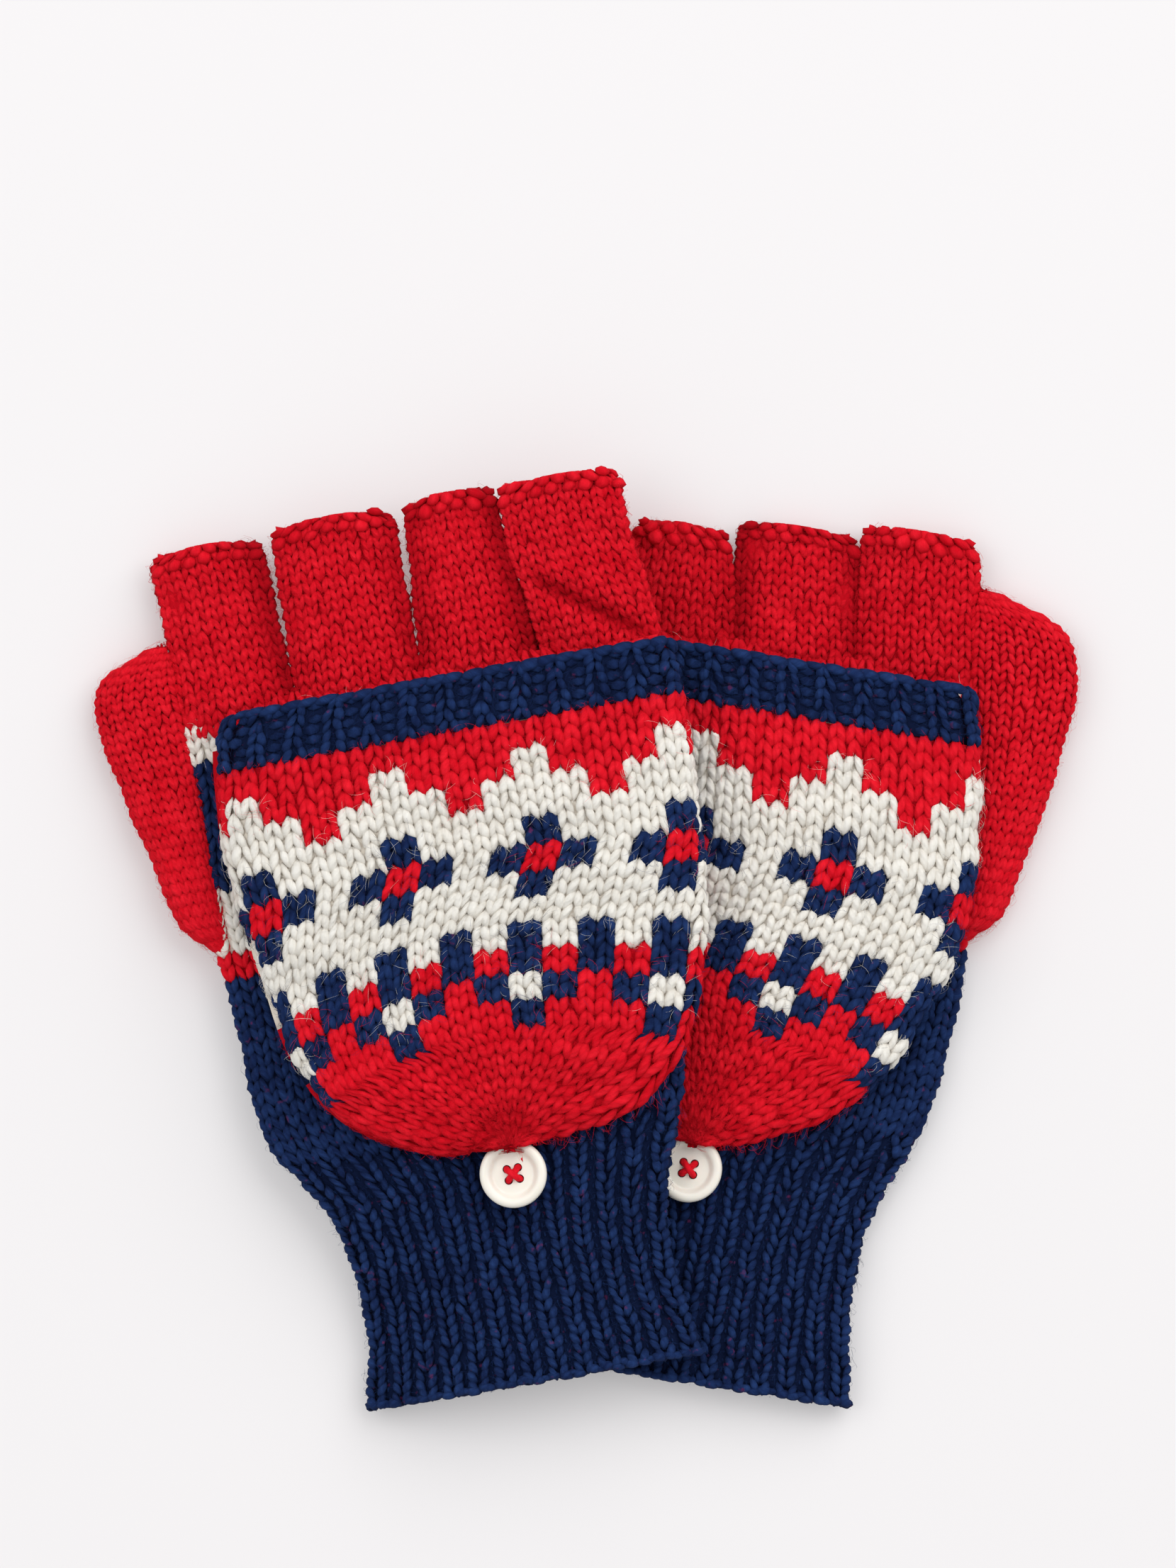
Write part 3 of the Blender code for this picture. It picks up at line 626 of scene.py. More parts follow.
def add_backing(yarn, sheet, mask, top=-0.42, bottom=-1.15):
    """Adds the closed slab of fabric under the stitches, in the cells where mask (rows, wales) is true.

    top and bottom are its heights over the sheet, in mm.
    """
    rows, wales = mask.shape
    v, u = np.meshgrid(np.linspace(0, sheet.rows, rows + 1), np.linspace(0, sheet.wales, wales + 1),
                       indexing="ij")
    if sheet.closed:
        u = np.minimum(u, sheet.wales - 1e-6)
    verts = np.concatenate([sheet.at(u, v, np.full(u.shape, h)).reshape(-1, 3) for h in (top, bottom)])
    total = u.size
    number = np.arange(total).reshape(rows + 1, wales + 1)
    if sheet.closed:
        number[:, -1] = number[:, 0]
    i, j = np.nonzero(mask)
    a, b, c, d = number[i, j], number[i, j + 1], number[i + 1, j + 1], number[i + 1, j]
    faces = [np.stack([a, b, c, d], -1), np.stack([d, c, b, a], -1) + total]
    # sides, where the next cell is not filled
    filled = np.pad(mask, 1)
    if sheet.closed:
        filled[1:-1, [0, -1]] = mask[:, [-1, 0]]
    for di, dj, p, q in ((-1, 0, b, a), (1, 0, d, c), (0, -1, a, d), (0, 1, c, b)):
        bare = ~filled[i + 1 + di, j + 1 + dj]
        p, q = p[bare], q[bare]
        faces.append(np.stack([p, q, q + total, p + total], -1))
    quads = np.concatenate(faces)
    used = np.unique(quads)
    renumber = np.zeros(2 * total, int)
    renumber[used] = np.arange(len(used))
    quads = renumber[quads]
    if sheet.inside_out:
        quads = quads[:, ::-1]
    # painted shade: the slab's depth attribute is low, so it shows dark between the stitches, and darker on
    # its lower side
    yarn.add(verts[used], quads, np.zeros((0, 3), int), np.zeros((len(quads), 4, 2)), np.zeros((0, 2)),
             np.where(used < total, 0.50, 0.40), np.full(len(used), 0.3))


@dataclass
class Gauge:
    """How plump the yarn is in one fabric, as half sizes in mm, and how its stitches lie."""

    width: float
    height: float
    lift: float = 0.18
    sink: float = 0.42
    inner: float = 0.09    # from the wale's middle to the leg's lower end, in stitches
    outer: float = 0.40    # and to its upper end
    back: float = 0.36     # how far the leg starts before its row, in rows
    ahead: float = 1.24    # and where it ends


FLAP_GAUGE = Gauge(width=0.88, height=0.66)
FINGER_GAUGE = Gauge(width=0.66, height=0.52, lift=0.14, sink=0.36)
HAND_GAUGE = Gauge(width=0.82, height=0.62)
BACK_GAUGE = Gauge(width=0.9, height=0.55, lift=0.15, sink=0.4)
FINE, MEDIUM, COARSE = (6, 7), (5, 6), (3, 5)


def add_stitches(yarn, sheet, u, v, gauge, detail, span=1.0, fit=1.0):
    """Adds a stocking stitch at each cell: two legs that open like a V from the row's start."""
    for hand in (-1, 1):
        start = np.stack([u + hand * gauge.inner * span, v - gauge.back], -1)
        end = np.stack([u + hand * gauge.outer * span, v + gauge.ahead], -1)
        add_lobes(yarn, sheet, start, end, gauge.width * fit, gauge.height * fit**0.5, gauge.lift, gauge.sink,
                  detail, bow=0.09 * hand)


def finish_piece(yarn, glove, name, colour, body, *nodes, blend=None):
    """Makes the glove's piece, rides it on its body unless blend is given, and hides its CAD nodes.

    blend holds two points between the hand and the body; when it is given, the piece is baked in place and
    rides on no body.
    """
    piece = yarn.mesh(f"{glove.name}_{name}", wool(colour))
    hand, body = f"{glove.name}_hand", f"{glove.name}_{body}"
    nodes = [f"{glove.name}_{node}" for node in nodes]
    if blend:
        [tuple(glove.place(*point)) for point in blend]
        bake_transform(piece)
    else:
        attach(piece, body)
    if nodes:
        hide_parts(*nodes)


def finish_colours(yarns, glove, part, body, node, main):
    """Finishes a part in each of its colours. The main colour's piece stands for the part's CAD node."""
    for colour, yarn in yarns.items():
        nodes = [node] if colour == main else []
        finish_piece(yarn, glove, f"{part}_{NAMES[colour]}_knit", colour, body, *nodes)


# ---------------------------------------------------------------- shapes of the pieces, in mm
SQUARENESS = 2.8     # of the sections: 2 is an ellipse, and more is closer to a rectangle
FINGER_SQUARENESS = 1.6
THUMB_SQUARENESS = 2.3
INSET = 0.85         # how far the sheets lie inside the outer shape, so that the stitches reach it
HAND_WALES = 56
THUMB_WALES = 16
THUMB_TUCK = 4.2     # how far the thumb reaches in under the hand's edge
ROOM_BELOW = 1.7     # how far the fingers keep off the table, where the flap's front goes when worn
PRESSED_DOWN = 0.7   # how far the folded flap presses the hand's back down
LITTLE_FLARE = 3.2   # how much wider the little finger is at its root
LITTLE_FOLD = np.array([(19.5, 21.0), (38.0, 7.5)])   # the fold across the right little finger
HEM_REACH = 1.8      # how far the flap's hem reaches over the button's edge
SHADE_WIDTH = 3.4    # how far the painted shade at a finger's edges reaches in
FINGER_INSIDE = 5.0  # how far a finger starts inside the hand
ROLL = 1.5           # how much of a finger's length is its rolled edge
FINGER_ARCH = 0.9    # how far the middle of a finger's last row lies ahead of its sides
CORNER = 2.4         # the length over which a finger's end rounds in, by CORNER_IN
CORNER_IN = 1.4
THUMB_CLOSING = 4.0  # the length over which the thumb closes
# how many loose fibres each part gets
FIBRES = {"finger": 3400, "thumb": 2600, "hand": 4500, "cuff": 5400, "flap": 12500, "crown": 1000,
          "rib": 1400}


def section(first, last, squareness):
    """(across, up) from -1 to 1 along a soft rectangle's edge, between two angles."""
    angle = np.linspace(first, last, 241)
    return (np.sign(v) * np.abs(v) ** (2 / squareness) for v in (np.cos(angle), np.sin(angle)))


def travelled(*steps):
    """How far along its line each point lies, from the differences between the points."""
    return np.concatenate([[0], np.cumsum(np.hypot(*steps))])


def ring_points(left, right, low, high, columns, squareness):
    """Rings of (x, z) round a soft, flat tube, one for each row, evenly spaced round their length.

    They start at the thumb side, and go over the back of the hand.
    """
    shape_x, shape_z = section(math.pi, -math.pi, squareness)
    xs, zs = [], []
    for l, r, lo, hi in zip(left, right, low, high):
        x = (l + r) / 2 + (r - l) / 2 * shape_x
        z = (lo + hi) / 2 + (hi - lo) / 2 * shape_z
        run = travelled(np.diff(x), np.diff(z))
        even = np.linspace(0, run[-1], columns)
        xs.append(np.interp(even, run, x))
        zs.append(np.interp(even, run, z))
    return np.array(xs), np.array(zs)


def tube_sheet(glove, y, left, right, low, high, wales, rows, squareness=SQUARENESS, arch=None,
               dent=None, shaded=(0, 0)):
    """A closed tube of knitting through rows at y, between the outlines left and right.

    arch is how far each row's middle lies ahead of its edges, and dent gives how far the upper side
    sinks at (x, y), both in mm; the dent's crease also gets painted shade. shaded is how much painted shade
    darkens the upper side's left and right edges.
    """
    columns = max(48, wales * 3) + 1
    x, z = ring_points(left, right, low, high, columns, squareness)
    y = y[:, None] + 0 * x
    if arch is not None:
        half = (right - left)[:, None] / 2
        y = y + arch[:, None] * (1 - ((x - (left + right)[:, None] / 2) / half) ** 2)
    top = np.clip((z - z.mean()) / 1.5, 0, 1)
    sunk = dent(x, y) * top if dent is not None else np.zeros(x.shape)
    sheet = Sheet(glove.place(x, y, z - sunk), wales, rows, closed=True)
    # painted shade: the upper side darkens at its edges, where the fingers meet, and in the dent's crease
    near_left, near_right = (np.exp(-(((x - edge[:, None]) / SHADE_WIDTH) ** 2)) for edge in (left, right))
    sheet.light = np.clip(1 - shaded[0] * near_left - shaded[1] * near_right - 0.4 * sunk, 0.1, 1)
    return sheet


def fold_dent(x, y):
    """The diagonal fold across the root of the right little finger, with a ridge below it."""
    start, end = LITTLE_FOLD
    run = (end - start) / np.hypot(*(end - start))
    below = -((x - start[0]) * run[1] - (y - start[1]) * run[0])
    reach = (x - start[0]) * run[0] + (y - start[1]) * run[1]
    fade = ease((reach + 3) / 6)
    return fade * (1.7 * np.exp(-((below / 1.5) ** 2)) - 0.5 * np.exp(-(((below + 4.0) / 2.2) ** 2)))


def upper(u, wales):
    """True for the wales on the back of the hand, which show from above."""
    return np.mod(u, wales) < wales / 2


def knit_tube(yarns, sheet, colours, gauge, hidden=None):
    """Knits a tube, each cell in the colour that colours(row, wale) gives, coarser where it is hidden."""
    r, w = cells(sheet.rows, sheet.wales)
    chart = colours(r, w)
    seen = upper(w + 0.5, sheet.wales)
    if hidden is not None:
        seen = seen & ~hidden(r, w)
    for colour, yarn in yarns.items():
        mask = chart == colour
        add_backing(yarn, sheet, mask)
        for level, part in ((MEDIUM, seen), (COARSE, ~seen)):
            own = mask & part
            add_stitches(yarn, sheet, w[own] + 0.5, r[own].astype(float), gauge, level)


def plain(colour):
    """A chart of one colour."""
    return lambda r, w: np.full(r.shape, colour)


def scatter_fuzz(yarns, sheet, colours, count, length=3.5, rise=1.6, first_row=0):
    """Loose fibres all over a sheet from first_row on, each in the colour of the stitch it leaves."""
    u = RNG.random(count) * sheet.wales
    v = first_row + RNG.random(count) * (sheet.rows - first_row)
    chart = colours(v.astype(int), u.astype(int))
    for colour, yarn in yarns.items():
        own = chart == colour
        add_fuzz(yarn, sheet, u[own], v[own], length, rise)


def add_row(yarn, sheet, u, v, reach, tilt, *size, **shape):
    """Adds lobes that reach sideways from each u, tilted by tilt rows at each end of v."""
    add_lobes(yarn, sheet, np.stack([u - reach, v + tilt[0]], -1), np.stack([u + reach, v + tilt[1]], -1),
              *size, **shape)


CAST_OFF_PITCH = 3.1
CAST_OFF_RADIUS = 1.3


def cast_off_edge(yarn, sheet):
    """The chain of plump loops that rolls over along the last row."""
    row = sheet.rows
    middles = np.arange(sheet.wales) + 0.5
    girth = sheet.read(sheet.step_u, middles, np.full(len(middles), row - 0.5)).sum() / MM
    count = round(girth / CAST_OFF_PITCH)
    half = sheet.wales / count / 2
    u = (2 * np.arange(count) + 1) * half
    size = CAST_OFF_RADIUS * (1 + 0.12 * RNG.standard_normal(count)).clip(0.75, 1.25)
    size = size * (0.7 + 0.3 * np.abs(np.sin(2 * np.pi * u / sheet.wales)) ** 0.5)
    v = row + 0.10 * RNG.standard_normal(count)
    for ahead, lift in ((-0.75, 0.55), (0.05, 0.75)):
        add_row(yarn, sheet, u, v + ahead, half * 0.85, (-0.32, 0.28), size, size * 0.85, lift, -0.3, FINE)
        u = u + half * 0.9
    add_row(yarn, sheet, u, v + 0.35, half, (0, 0), size * 0.9, size * 0.8, -0.35, 0.9, FINE)


def make_finger(glove, index, name):
    """One open finger tube with its cast-off edge, which starts inside the hand near the knuckle."""
    start, end = KNUCKLE_END - FINGER_INSIDE, glove.finger_ends[index] - ROLL
    rows = round((end - start) / FINGER_ROW)
    y = np.linspace(start, end, rows * 3 + 1)
    t = np.clip((y - KNUCKLE_END) / (glove.finger_ends[index] - KNUCKLE_END), 0, 1)
    left, right = ((1 - t) * glove.finger_base[i] + t * glove.finger_top[i] for i in (index, index + 1))
    # neighbours crowd each other at their bases, and some part towards their ends
    crowd = (1 - t) ** 1.3
    left = left - crowd * (index > 0) + glove.parted[index] * ease(t / 0.6) + INSET
    right = right + crowd * (index < 3) - glove.parted[index + 1] * ease(t / 0.6) - INSET
    root = 1 - ease(t / 0.85)
    left = left + LITTLE_FLARE * root * (index == 3)
    right = right + LITTLE_FLARE * root * (0, 0, 0.6, 1)[index]
    corner = CORNER_IN * (1 - np.sqrt(1 - np.clip((y - end + CORNER) / CORNER, 0, 1) ** 2))
    left, right = left + corner, right - corner
    swollen = ease((y - KNUCKLE_END + 1) / 10)
    low = INSET + ROOM_BELOW * swollen
    high = HAND_HEIGHT - INSET - glove.lowered[index] * swollen
    wales = 2 * round((right - left).mean() / FINGER_STITCH + 1.0)
    sheet = tube_sheet(glove, y, left, right, low, high, wales, rows, FINGER_SQUARENESS,
                       arch=FINGER_ARCH * ease(t),
                       dent=fold_dent if glove is RIGHT and index == 3 else None,
                       shaded=glove.shaded[index])
    yarn = Yarn()
    knit_tube({"r": yarn}, sheet, plain("r"), FINGER_GAUGE)
    cast_off_edge(yarn, sheet)
    scatter_fuzz({"r": yarn}, sheet, plain("r"), FIBRES["finger"])
    middle = (glove.finger_base[index] + glove.finger_base[index + 1]) / 2
    finish_piece(yarn, glove, f"{name}_finger_knit", "r", name, f"{name}_finger",
                 blend=[(middle, KNUCKLE_END + ahead, HAND_HEIGHT / 2) for ahead in (-1.5, 6.0)])


def make_thumb(glove):
    """The closed thumb, tucked behind the hand's edge and knitted up to its drawn-in tip."""
    first, last = glove.thumb_outer[0][0] - 4.5, glove.thumb_outer[-1][0] + 1.4
    rows = round((last - first) / FINGER_ROW) + 1
    t = np.linspace(0, 1, rows * 3 + 1)
    y = first + (last - first) * (1 - (1 - t) ** 1.2)
    outer = along(glove.thumb_outer, y)
    inner = along(glove.thumb_inner, y) + THUMB_TUCK
    root = ease((y - first) / 9.0)
    outer = outer + (inner - 1.5 - outer) * (1 - root)
    closing = np.clip((y - (last - THUMB_CLOSING)) / THUMB_CLOSING, 0, 1)
    close = np.sqrt(np.clip(1 - closing**2, 0, 1))
    left = inner + (outer - inner) * (0.12 + 0.88 * close) + INSET * close
    right = inner - (inner - outer) * 0.1 * (1 - close)
    half = (HAND_HEIGHT / 2 - INSET) * (0.40 + 0.60 * root) * (0.15 + 0.85 * close)
    centre = HAND_HEIGHT / 2 - 0.6 * (1 - root)
    sheet = tube_sheet(glove, y, left, right, centre - half, centre + half, THUMB_WALES, rows,
                       THUMB_SQUARENESS)
    yarn = Yarn()
    knit_tube({"r": yarn}, sheet, plain("r"), FINGER_GAUGE)
    scatter_fuzz({"r": yarn}, sheet, plain("r"), FIBRES["thumb"])
    root_x = glove.thumb_inner[0][1] - 3
    finish_piece(yarn, glove, "thumb_knit", "r", "thumb", "thumb",
                 blend=[(root_x, first + ahead, HAND_HEIGHT / 2) for ahead in (2, 22)])


def make_hand(glove):
    """The hand's tube of patterned knitting, from the cuff to the knuckles."""
    rows = round((KNUCKLE_END - RIB_START) / HAND_ROW)
    y = np.linspace(RIB_START, KNUCKLE_END, rows * 2 + 1)
    left = along(glove.thumb_side, y) + INSET
    right = along(glove.little_side, y) - INSET
    low = INSET + ROOM_BELOW * ease((y + 9) / 9)
    high = HAND_HEIGHT - INSET - PRESSED_DOWN * ease((y + 16) / 10)
    sheet = tube_sheet(glove, y, left, right, low, high, HAND_WALES, rows)
    levels, letters = (np.array(column) for column in zip(*HAND_CHART))

    def colours(r, w):
        height = RIB_START + (r + 0.5) * HAND_ROW
        return letters[np.clip(np.searchsorted(levels, height, side="right") - 1, 0, len(levels) - 1)]

    def under_flap(r, w):
        inside = (w > 4) & (w < HAND_WALES / 2 - 5)
        return inside & (RIB_START + r * HAND_ROW > glove.tip + 16)

    yarns = {c: Yarn() for c in "nrw"}
    knit_tube(yarns, sheet, colours, HAND_GAUGE, hidden=under_flap)
    scatter_fuzz(yarns, sheet, colours, FIBRES["hand"])
    finish_colours(yarns, glove, "hand", "hand", "hand", "n")


def rib_stitches(yarn, sheet, fine, gauge, column, purl):
    """Raised columns of stocking stitch, with a column of purl bumps between them.

    fine says which wales have more detail, column is a knitted column's share of the pitch, and purl
    holds the bumps' half sizes and height.
    """
    r, w = (part.ravel() for part in cells(sheet.rows, sheet.wales))
    r = r.astype(float)
    for level, seen in ((MEDIUM, fine), (COARSE, ~fine)):
        part = seen[w]
        add_stitches(yarn, sheet, w[part] + 0.5, r[part], gauge, level, span=column)
        between = part & ((w > 0) | sheet.closed)
        # painted shade: the purl bumps, sunk between the ribs, are darkened by shade=0.75
        add_row(yarn, sheet, w[between], r[between] + 0.5, (1 - column) / 2, (0, 0),
                *purl, 0.5 - purl[2], COARSE, shade=0.75)


def make_cuff(glove):
    """The ribbed cuff, which runs up onto the hand, with its soft, scalloped edge."""
    start, end = CUFF_END[glove.name] + 1.0, RIB_START
    rows = round((end - start) / CUFF_ROW)
    y = np.linspace(start, end, rows * 2 + 1)
    left = np.where(y < CUFF_START, along(CUFF_THUMB_SIDE, y), along(glove.thumb_side, y)) + INSET
    right = np.where(y < CUFF_START, along(CUFF_LITTLE_SIDE, y), along(glove.little_side, y)) - INSET
    low, high = np.full(len(y), INSET + 0.2), np.full(len(y), HAND_HEIGHT - INSET - 0.2)
    ribs = 2 * round((right - left).mean() / RIB_PITCH + 0.8)
    sheet = tube_sheet(glove, y, left, right, low, high, ribs, rows)
    yarn = Yarn()
    gauge = Gauge(width=0.78, height=0.72, lift=0.42, sink=0.30, inner=0.12, outer=0.36, ahead=1.35)
    w = np.arange(ribs) + 0.5
    rib_stitches(yarn, sheet, upper(w, ribs), gauge, 0.86, (0.6, 0.5, -0.5))
    add_backing(yarn, sheet, np.ones((rows, ribs), bool), top=-0.5, bottom=-1.6)
    for shift, reach, size in ((-0.22, 0.30, 0.85), (0.22, 0.30, 0.85), (0.5, 0.26, 0.7)):
        jog = 0.08 * RNG.standard_normal(ribs)
        add_row(yarn, sheet, w + shift, jog, reach, (0.2, 0), size, size, 0.35, 0.2, FINE, fullness=0.45)
    scatter_fuzz({"n": yarn}, sheet, plain("n"), FIBRES["cuff"])
    finish_piece(yarn, glove, "cuff_knit", "n", "hand", "cuff")


# ---------------------------------------------------------------- the flap
FLAP_SQUARENESS = 3.4
FLAP_HALF_WIDTH = 45.0
FLAP_RISE = 7.0
FLAP_EDGE = FLAP_BOTTOM + 0.7    # the height of the front's edges, where it meets the back
BAND_EDGE = FLAP_BOTTOM + 1.3    # and of the ribbed band's
BAND_ROWS = 5
BAND_RIBS = 13
BAND_DROOP = (3.6, 1.8)          # how far the band's thumb and little-finger ends round off
ABOVE_BUTTON = 1.15              # how far the hem's sheet lies over the button
BUTTON_REACH = 6.2               # how far from the button's middle the hem still rests on it
BACK_WIDTH = 0.975               # the back's share of the front's width
BACK_LAYER = FLAP_BOTTOM + 0.95  # the height of the back's sheet


def flap_shape(p):
    """(across, up) of the flap's pillow section at p, from -1 to 1 round its arc."""
    x, z = section(math.pi, 0, FLAP_SQUARENESS)
    run = travelled(np.diff(x) * FLAP_HALF_WIDTH, np.diff(z) * FLAP_RISE)
    even = 2 * run / run[-1] - 1
    return np.interp(p, even, x), np.interp(p, even, z)


def flap_row_y(glove, row, p):
    """Where a row lies down the glove, at p across it: the sides hang lower towards the crown."""
    rows, places = zip(*glove.row_places)
    sag = np.interp(row, [0, 10, 20, CROWN_ROW], [0.0, 4.0, 9.0, 9.5])
    return np.interp(row, rows, places) - sag * np.abs(p) ** 1.6


def crown_rim(side, start, eye, share):
    """The crown's edge on one side, from its first row round to the eye, at each share of the way."""
    y = np.linspace(start, eye[1], 90)
    path = np.concatenate([np.stack([along(side, y), y], -1), [eye]])
    run = travelled(*np.diff(path, axis=0).T)
    return [np.interp(share, run / run[-1], path[:, axis]) for axis in (0, 1)]


def across_flap(glove, y, across):
    """x at y, as far across the flap as across says, from -1 to 1."""
    left, right = along(glove.flap_thumb_side, y), along(glove.flap_little_side, y)
    return (left + right) / 2 + (right - left) / 2 * across


def flap_places(glove, row, p, across):
    """(x, y) of the flap's points: straight wales down to the crown, which then run in to its eye."""
    y = flap_row_y(glove, np.minimum(row, CROWN_ROW), p)
    x = across_flap(glove, y, across)
    eye = (glove.button[0], glove.tip)
    first, start = (float(flap_row_y(glove, CROWN_ROW, at)) for at in (0.0, 1.0))
    share = np.clip((row - CROWN_ROW) / (FLAP_ROWS - CROWN_ROW), 0, 1) + 0 * p
    # the rows lie closer together towards the eye
    share = 1 - (1 - share) ** 1.15
    x_left, y_left = crown_rim(glove.flap_thumb_side, start, eye, share)
    x_right, y_right = crown_rim(glove.flap_little_side, start, eye, share)
    middle = first + (eye[1] - first) * share
    part = (across + 1) / 2
    chord = y_left + (y_right - y_left) * part
    crown_y = chord + (middle - (y_left + y_right) / 2) * (1 - np.abs(p) ** 1.6)
    crown_x = x_left + (x_right - x_left) * part
    down = row > CROWN_ROW
    return np.where(down, crown_x, x), np.where(down, crown_y, y)


def flap_sheet(glove, p, x, y, rows, wales, lower):
    """The flap's upper surface as a pillow over its pocket, whose hem rests on the button."""
    up = flap_shape(p)[1]
    top = FLAP_TOP - INSET
    rise = (top - lower) * (1 - np.clip((-y - 40) / (-glove.tip - 40), 0, 1) ** 4.5) ** (1 / 2.2)
    z = lower + rise * up
    middle = (along(glove.flap_thumb_side, y) + along(glove.flap_little_side, y)) / 2
    x = x + glove.lean_in * np.clip((middle - x) / 40 + 0.5, 0, 1)
    y = y - HEM_REACH * ease((-y + glove.tip + 7) / 7)
    away = np.hypot(x - glove.button[0], y - glove.button[1])
    rest = HAND_HEIGHT + SHANK + BUTTON_THICKNESS + ABOVE_BUTTON
    z = np.maximum(z, rest - 1.2 * np.maximum(away - BUTTON_REACH, 0))
    x = x - np.sign(p) * INSET * np.abs(p) ** 6
    return Sheet(glove.place(x, y, z), wales, rows, out=(0, 0, 1))


def flap_grid(rows, wales, finer):
    """Rows and places across them, from -1 to 1, for a part of the flap."""
    return (np.linspace(0, rows, rows * finer[0] + 1)[:, None],
            np.linspace(-1, 1, wales * finer[1] + 1)[None, :])


def flap_chart(glove):
    """The colour of each of the flap's cells."""
    letters = np.array([list(line) for line in CHART])
    middle = FLAP_WALES // 2 + glove.pattern_middle
    return lambda r, w: letters[r, np.mod(w - middle + 4, 8)]


def knit_flap(yarn, sheet, chart, colour, gauge, detail, *slab):
    """One colour of the flap's straight rows, on its backing."""
    r, w = cells(FLAP_ROWS, FLAP_WALES)
    mask = chart(r, w) == colour
    add_backing(yarn, sheet, mask, *slab)
    own = mask & (r < CROWN_ROW)
    add_stitches(yarn, sheet, w[own] + 0.5, r[own].astype(float), gauge, detail)


def make_flap_front(glove):
    """The patterned front of the flap and its crown, where the wales run together."""
    row, p = flap_grid(FLAP_ROWS, FLAP_WALES, (3, 4))
    x, y = flap_places(glove, row, p, flap_shape(p)[0])
    sheet = flap_sheet(glove, p, x, y, FLAP_ROWS, FLAP_WALES, FLAP_EDGE)
    # the pattern drifts sideways down the flap
    v, u = np.meshgrid(np.linspace(0, FLAP_ROWS, sheet.points.shape[0]),
                       np.linspace(0, FLAP_WALES, sheet.points.shape[1]), indexing="ij")
    rows, amounts = zip(*glove.drift)
    u = u + np.interp(v, rows, amounts) * np.sin(np.pi * np.clip(u / FLAP_WALES, 0, 1)) ** 0.35
    sheet = Sheet(sheet.read(sheet.points, u, v), FLAP_WALES, FLAP_ROWS, out=(0, 0, 1))
    chart = flap_chart(glove)
    yarns = {c: Yarn() for c in "rwn"}
    for colour, yarn in yarns.items():
        knit_flap(yarn, sheet, chart, colour, FLAP_GAUGE, FINE)
    add_crown(yarns["r"], sheet, FLAP_GAUGE, FINE)
    scatter_fuzz(yarns, sheet, chart, FIBRES["flap"], length=3.6, rise=1.9)
    scatter_fuzz({"r": yarns["r"]}, sheet, chart, FIBRES["crown"], length=3.6, rise=1.9,
                 first_row=CROWN_ROW - 1)
    finish_colours(yarns, glove, "flap_front", "flap", "flap_front_panel", "w")


FULL_STITCH = 3.1   # the width of a stitch, in mm, that the gauge is meant for


def add_crown(yarn, sheet, gauge, detail):
    """The crown's rows, whose wedges lose a stitch every few rows."""
    per_wedge = FLAP_WALES / WEDGES
    for row in range(CROWN_ROW, FLAP_ROWS):
        left = max(1, round(3.6 - (row - CROWN_ROW) / 2.9))   # the wedge's stitches: 4, and then 3, 2 and 1
        span = per_wedge / left
        k, m = cells(WEDGES, left)
        u = (k * per_wedge + (m + 0.5) * span).ravel()
        v = np.full(len(u), float(row))
        step = sheet.read(sheet.step_u, u, v + 0.5) / MM * span
        fit = np.clip(step / FULL_STITCH, 0.6, 1.1)
        add_stitches(yarn, sheet, u, v, gauge, detail, span=span, fit=fit)


def make_flap_rib(glove):
    """The ribbed band along the flap's opening."""
    rows, ribs = BAND_ROWS, BAND_RIBS
    top, bottom = RIB_TOP - 0.9, RIB_BOTTOM - 0.2
    row, p = flap_grid(rows, ribs, (3, 4))
    y = top + (bottom - top) * row / rows + 0 * p
    # the band's ends round off under the flap
    droop = np.where(p < 0, *BAND_DROOP) * np.clip((np.abs(p) - 0.90) / 0.10, 0, 1) ** 2
    y = y - droop * (1 - row / rows)
    x = across_flap(glove, y, flap_shape(p)[0])
    sheet = flap_sheet(glove, p, x, y, rows, ribs, BAND_EDGE)
    yarn = Yarn()
    gauge = Gauge(width=0.85, height=0.72, lift=0.36, sink=0.30, inner=0.12, outer=0.42)
    rib_stitches(yarn, sheet, np.ones(ribs, bool), gauge, 0.50, (1.15, 0.68, 0.0))
    add_backing(yarn, sheet, np.ones((rows, ribs), bool), top=-0.2, bottom=-1.5)
    w = (np.arange(ribs * 2) + 0.5) / 2
    add_row(yarn, sheet, w, 0 * w, 0.34, (0.15, -0.1), 1.05, 1.0, 0.3, 0.2, FINE, fullness=0.4)
    scatter_fuzz({"n": yarn}, sheet, plain("n"), FIBRES["rib"], rise=1.4)
    finish_piece(yarn, glove, "flap_rib_knit", "n", "flap", "flap_rib_band")


def make_flap_back(glove):
    """The flap's other layer, which lies on the hand and turns up when the flap is worn."""
    row, p = flap_grid(FLAP_ROWS, FLAP_WALES, (2, 2))
    x, y = flap_places(glove, row, p, p)
    x = x * BACK_WIDTH
    y = y + (HINGE_AT + x * math.tan(HINGE_SLANT) + 4.2) * (1 - ease(row / 9))
    sheet = Sheet(glove.place(x, y, BACK_LAYER), FLAP_WALES, FLAP_ROWS, out=(0, 0, -1))
    yarns = {c: Yarn() for c in "rwn"}
    for colour, yarn in yarns.items():
        knit_flap(yarn, sheet, flap_chart(glove), colour, BACK_GAUGE, COARSE, -0.2, -0.9)
        if colour == "r":
            add_crown(yarn, sheet, BACK_GAUGE, COARSE)
    finish_colours(yarns, glove, "flap_back", "flap", "flap_back_panel", "w")


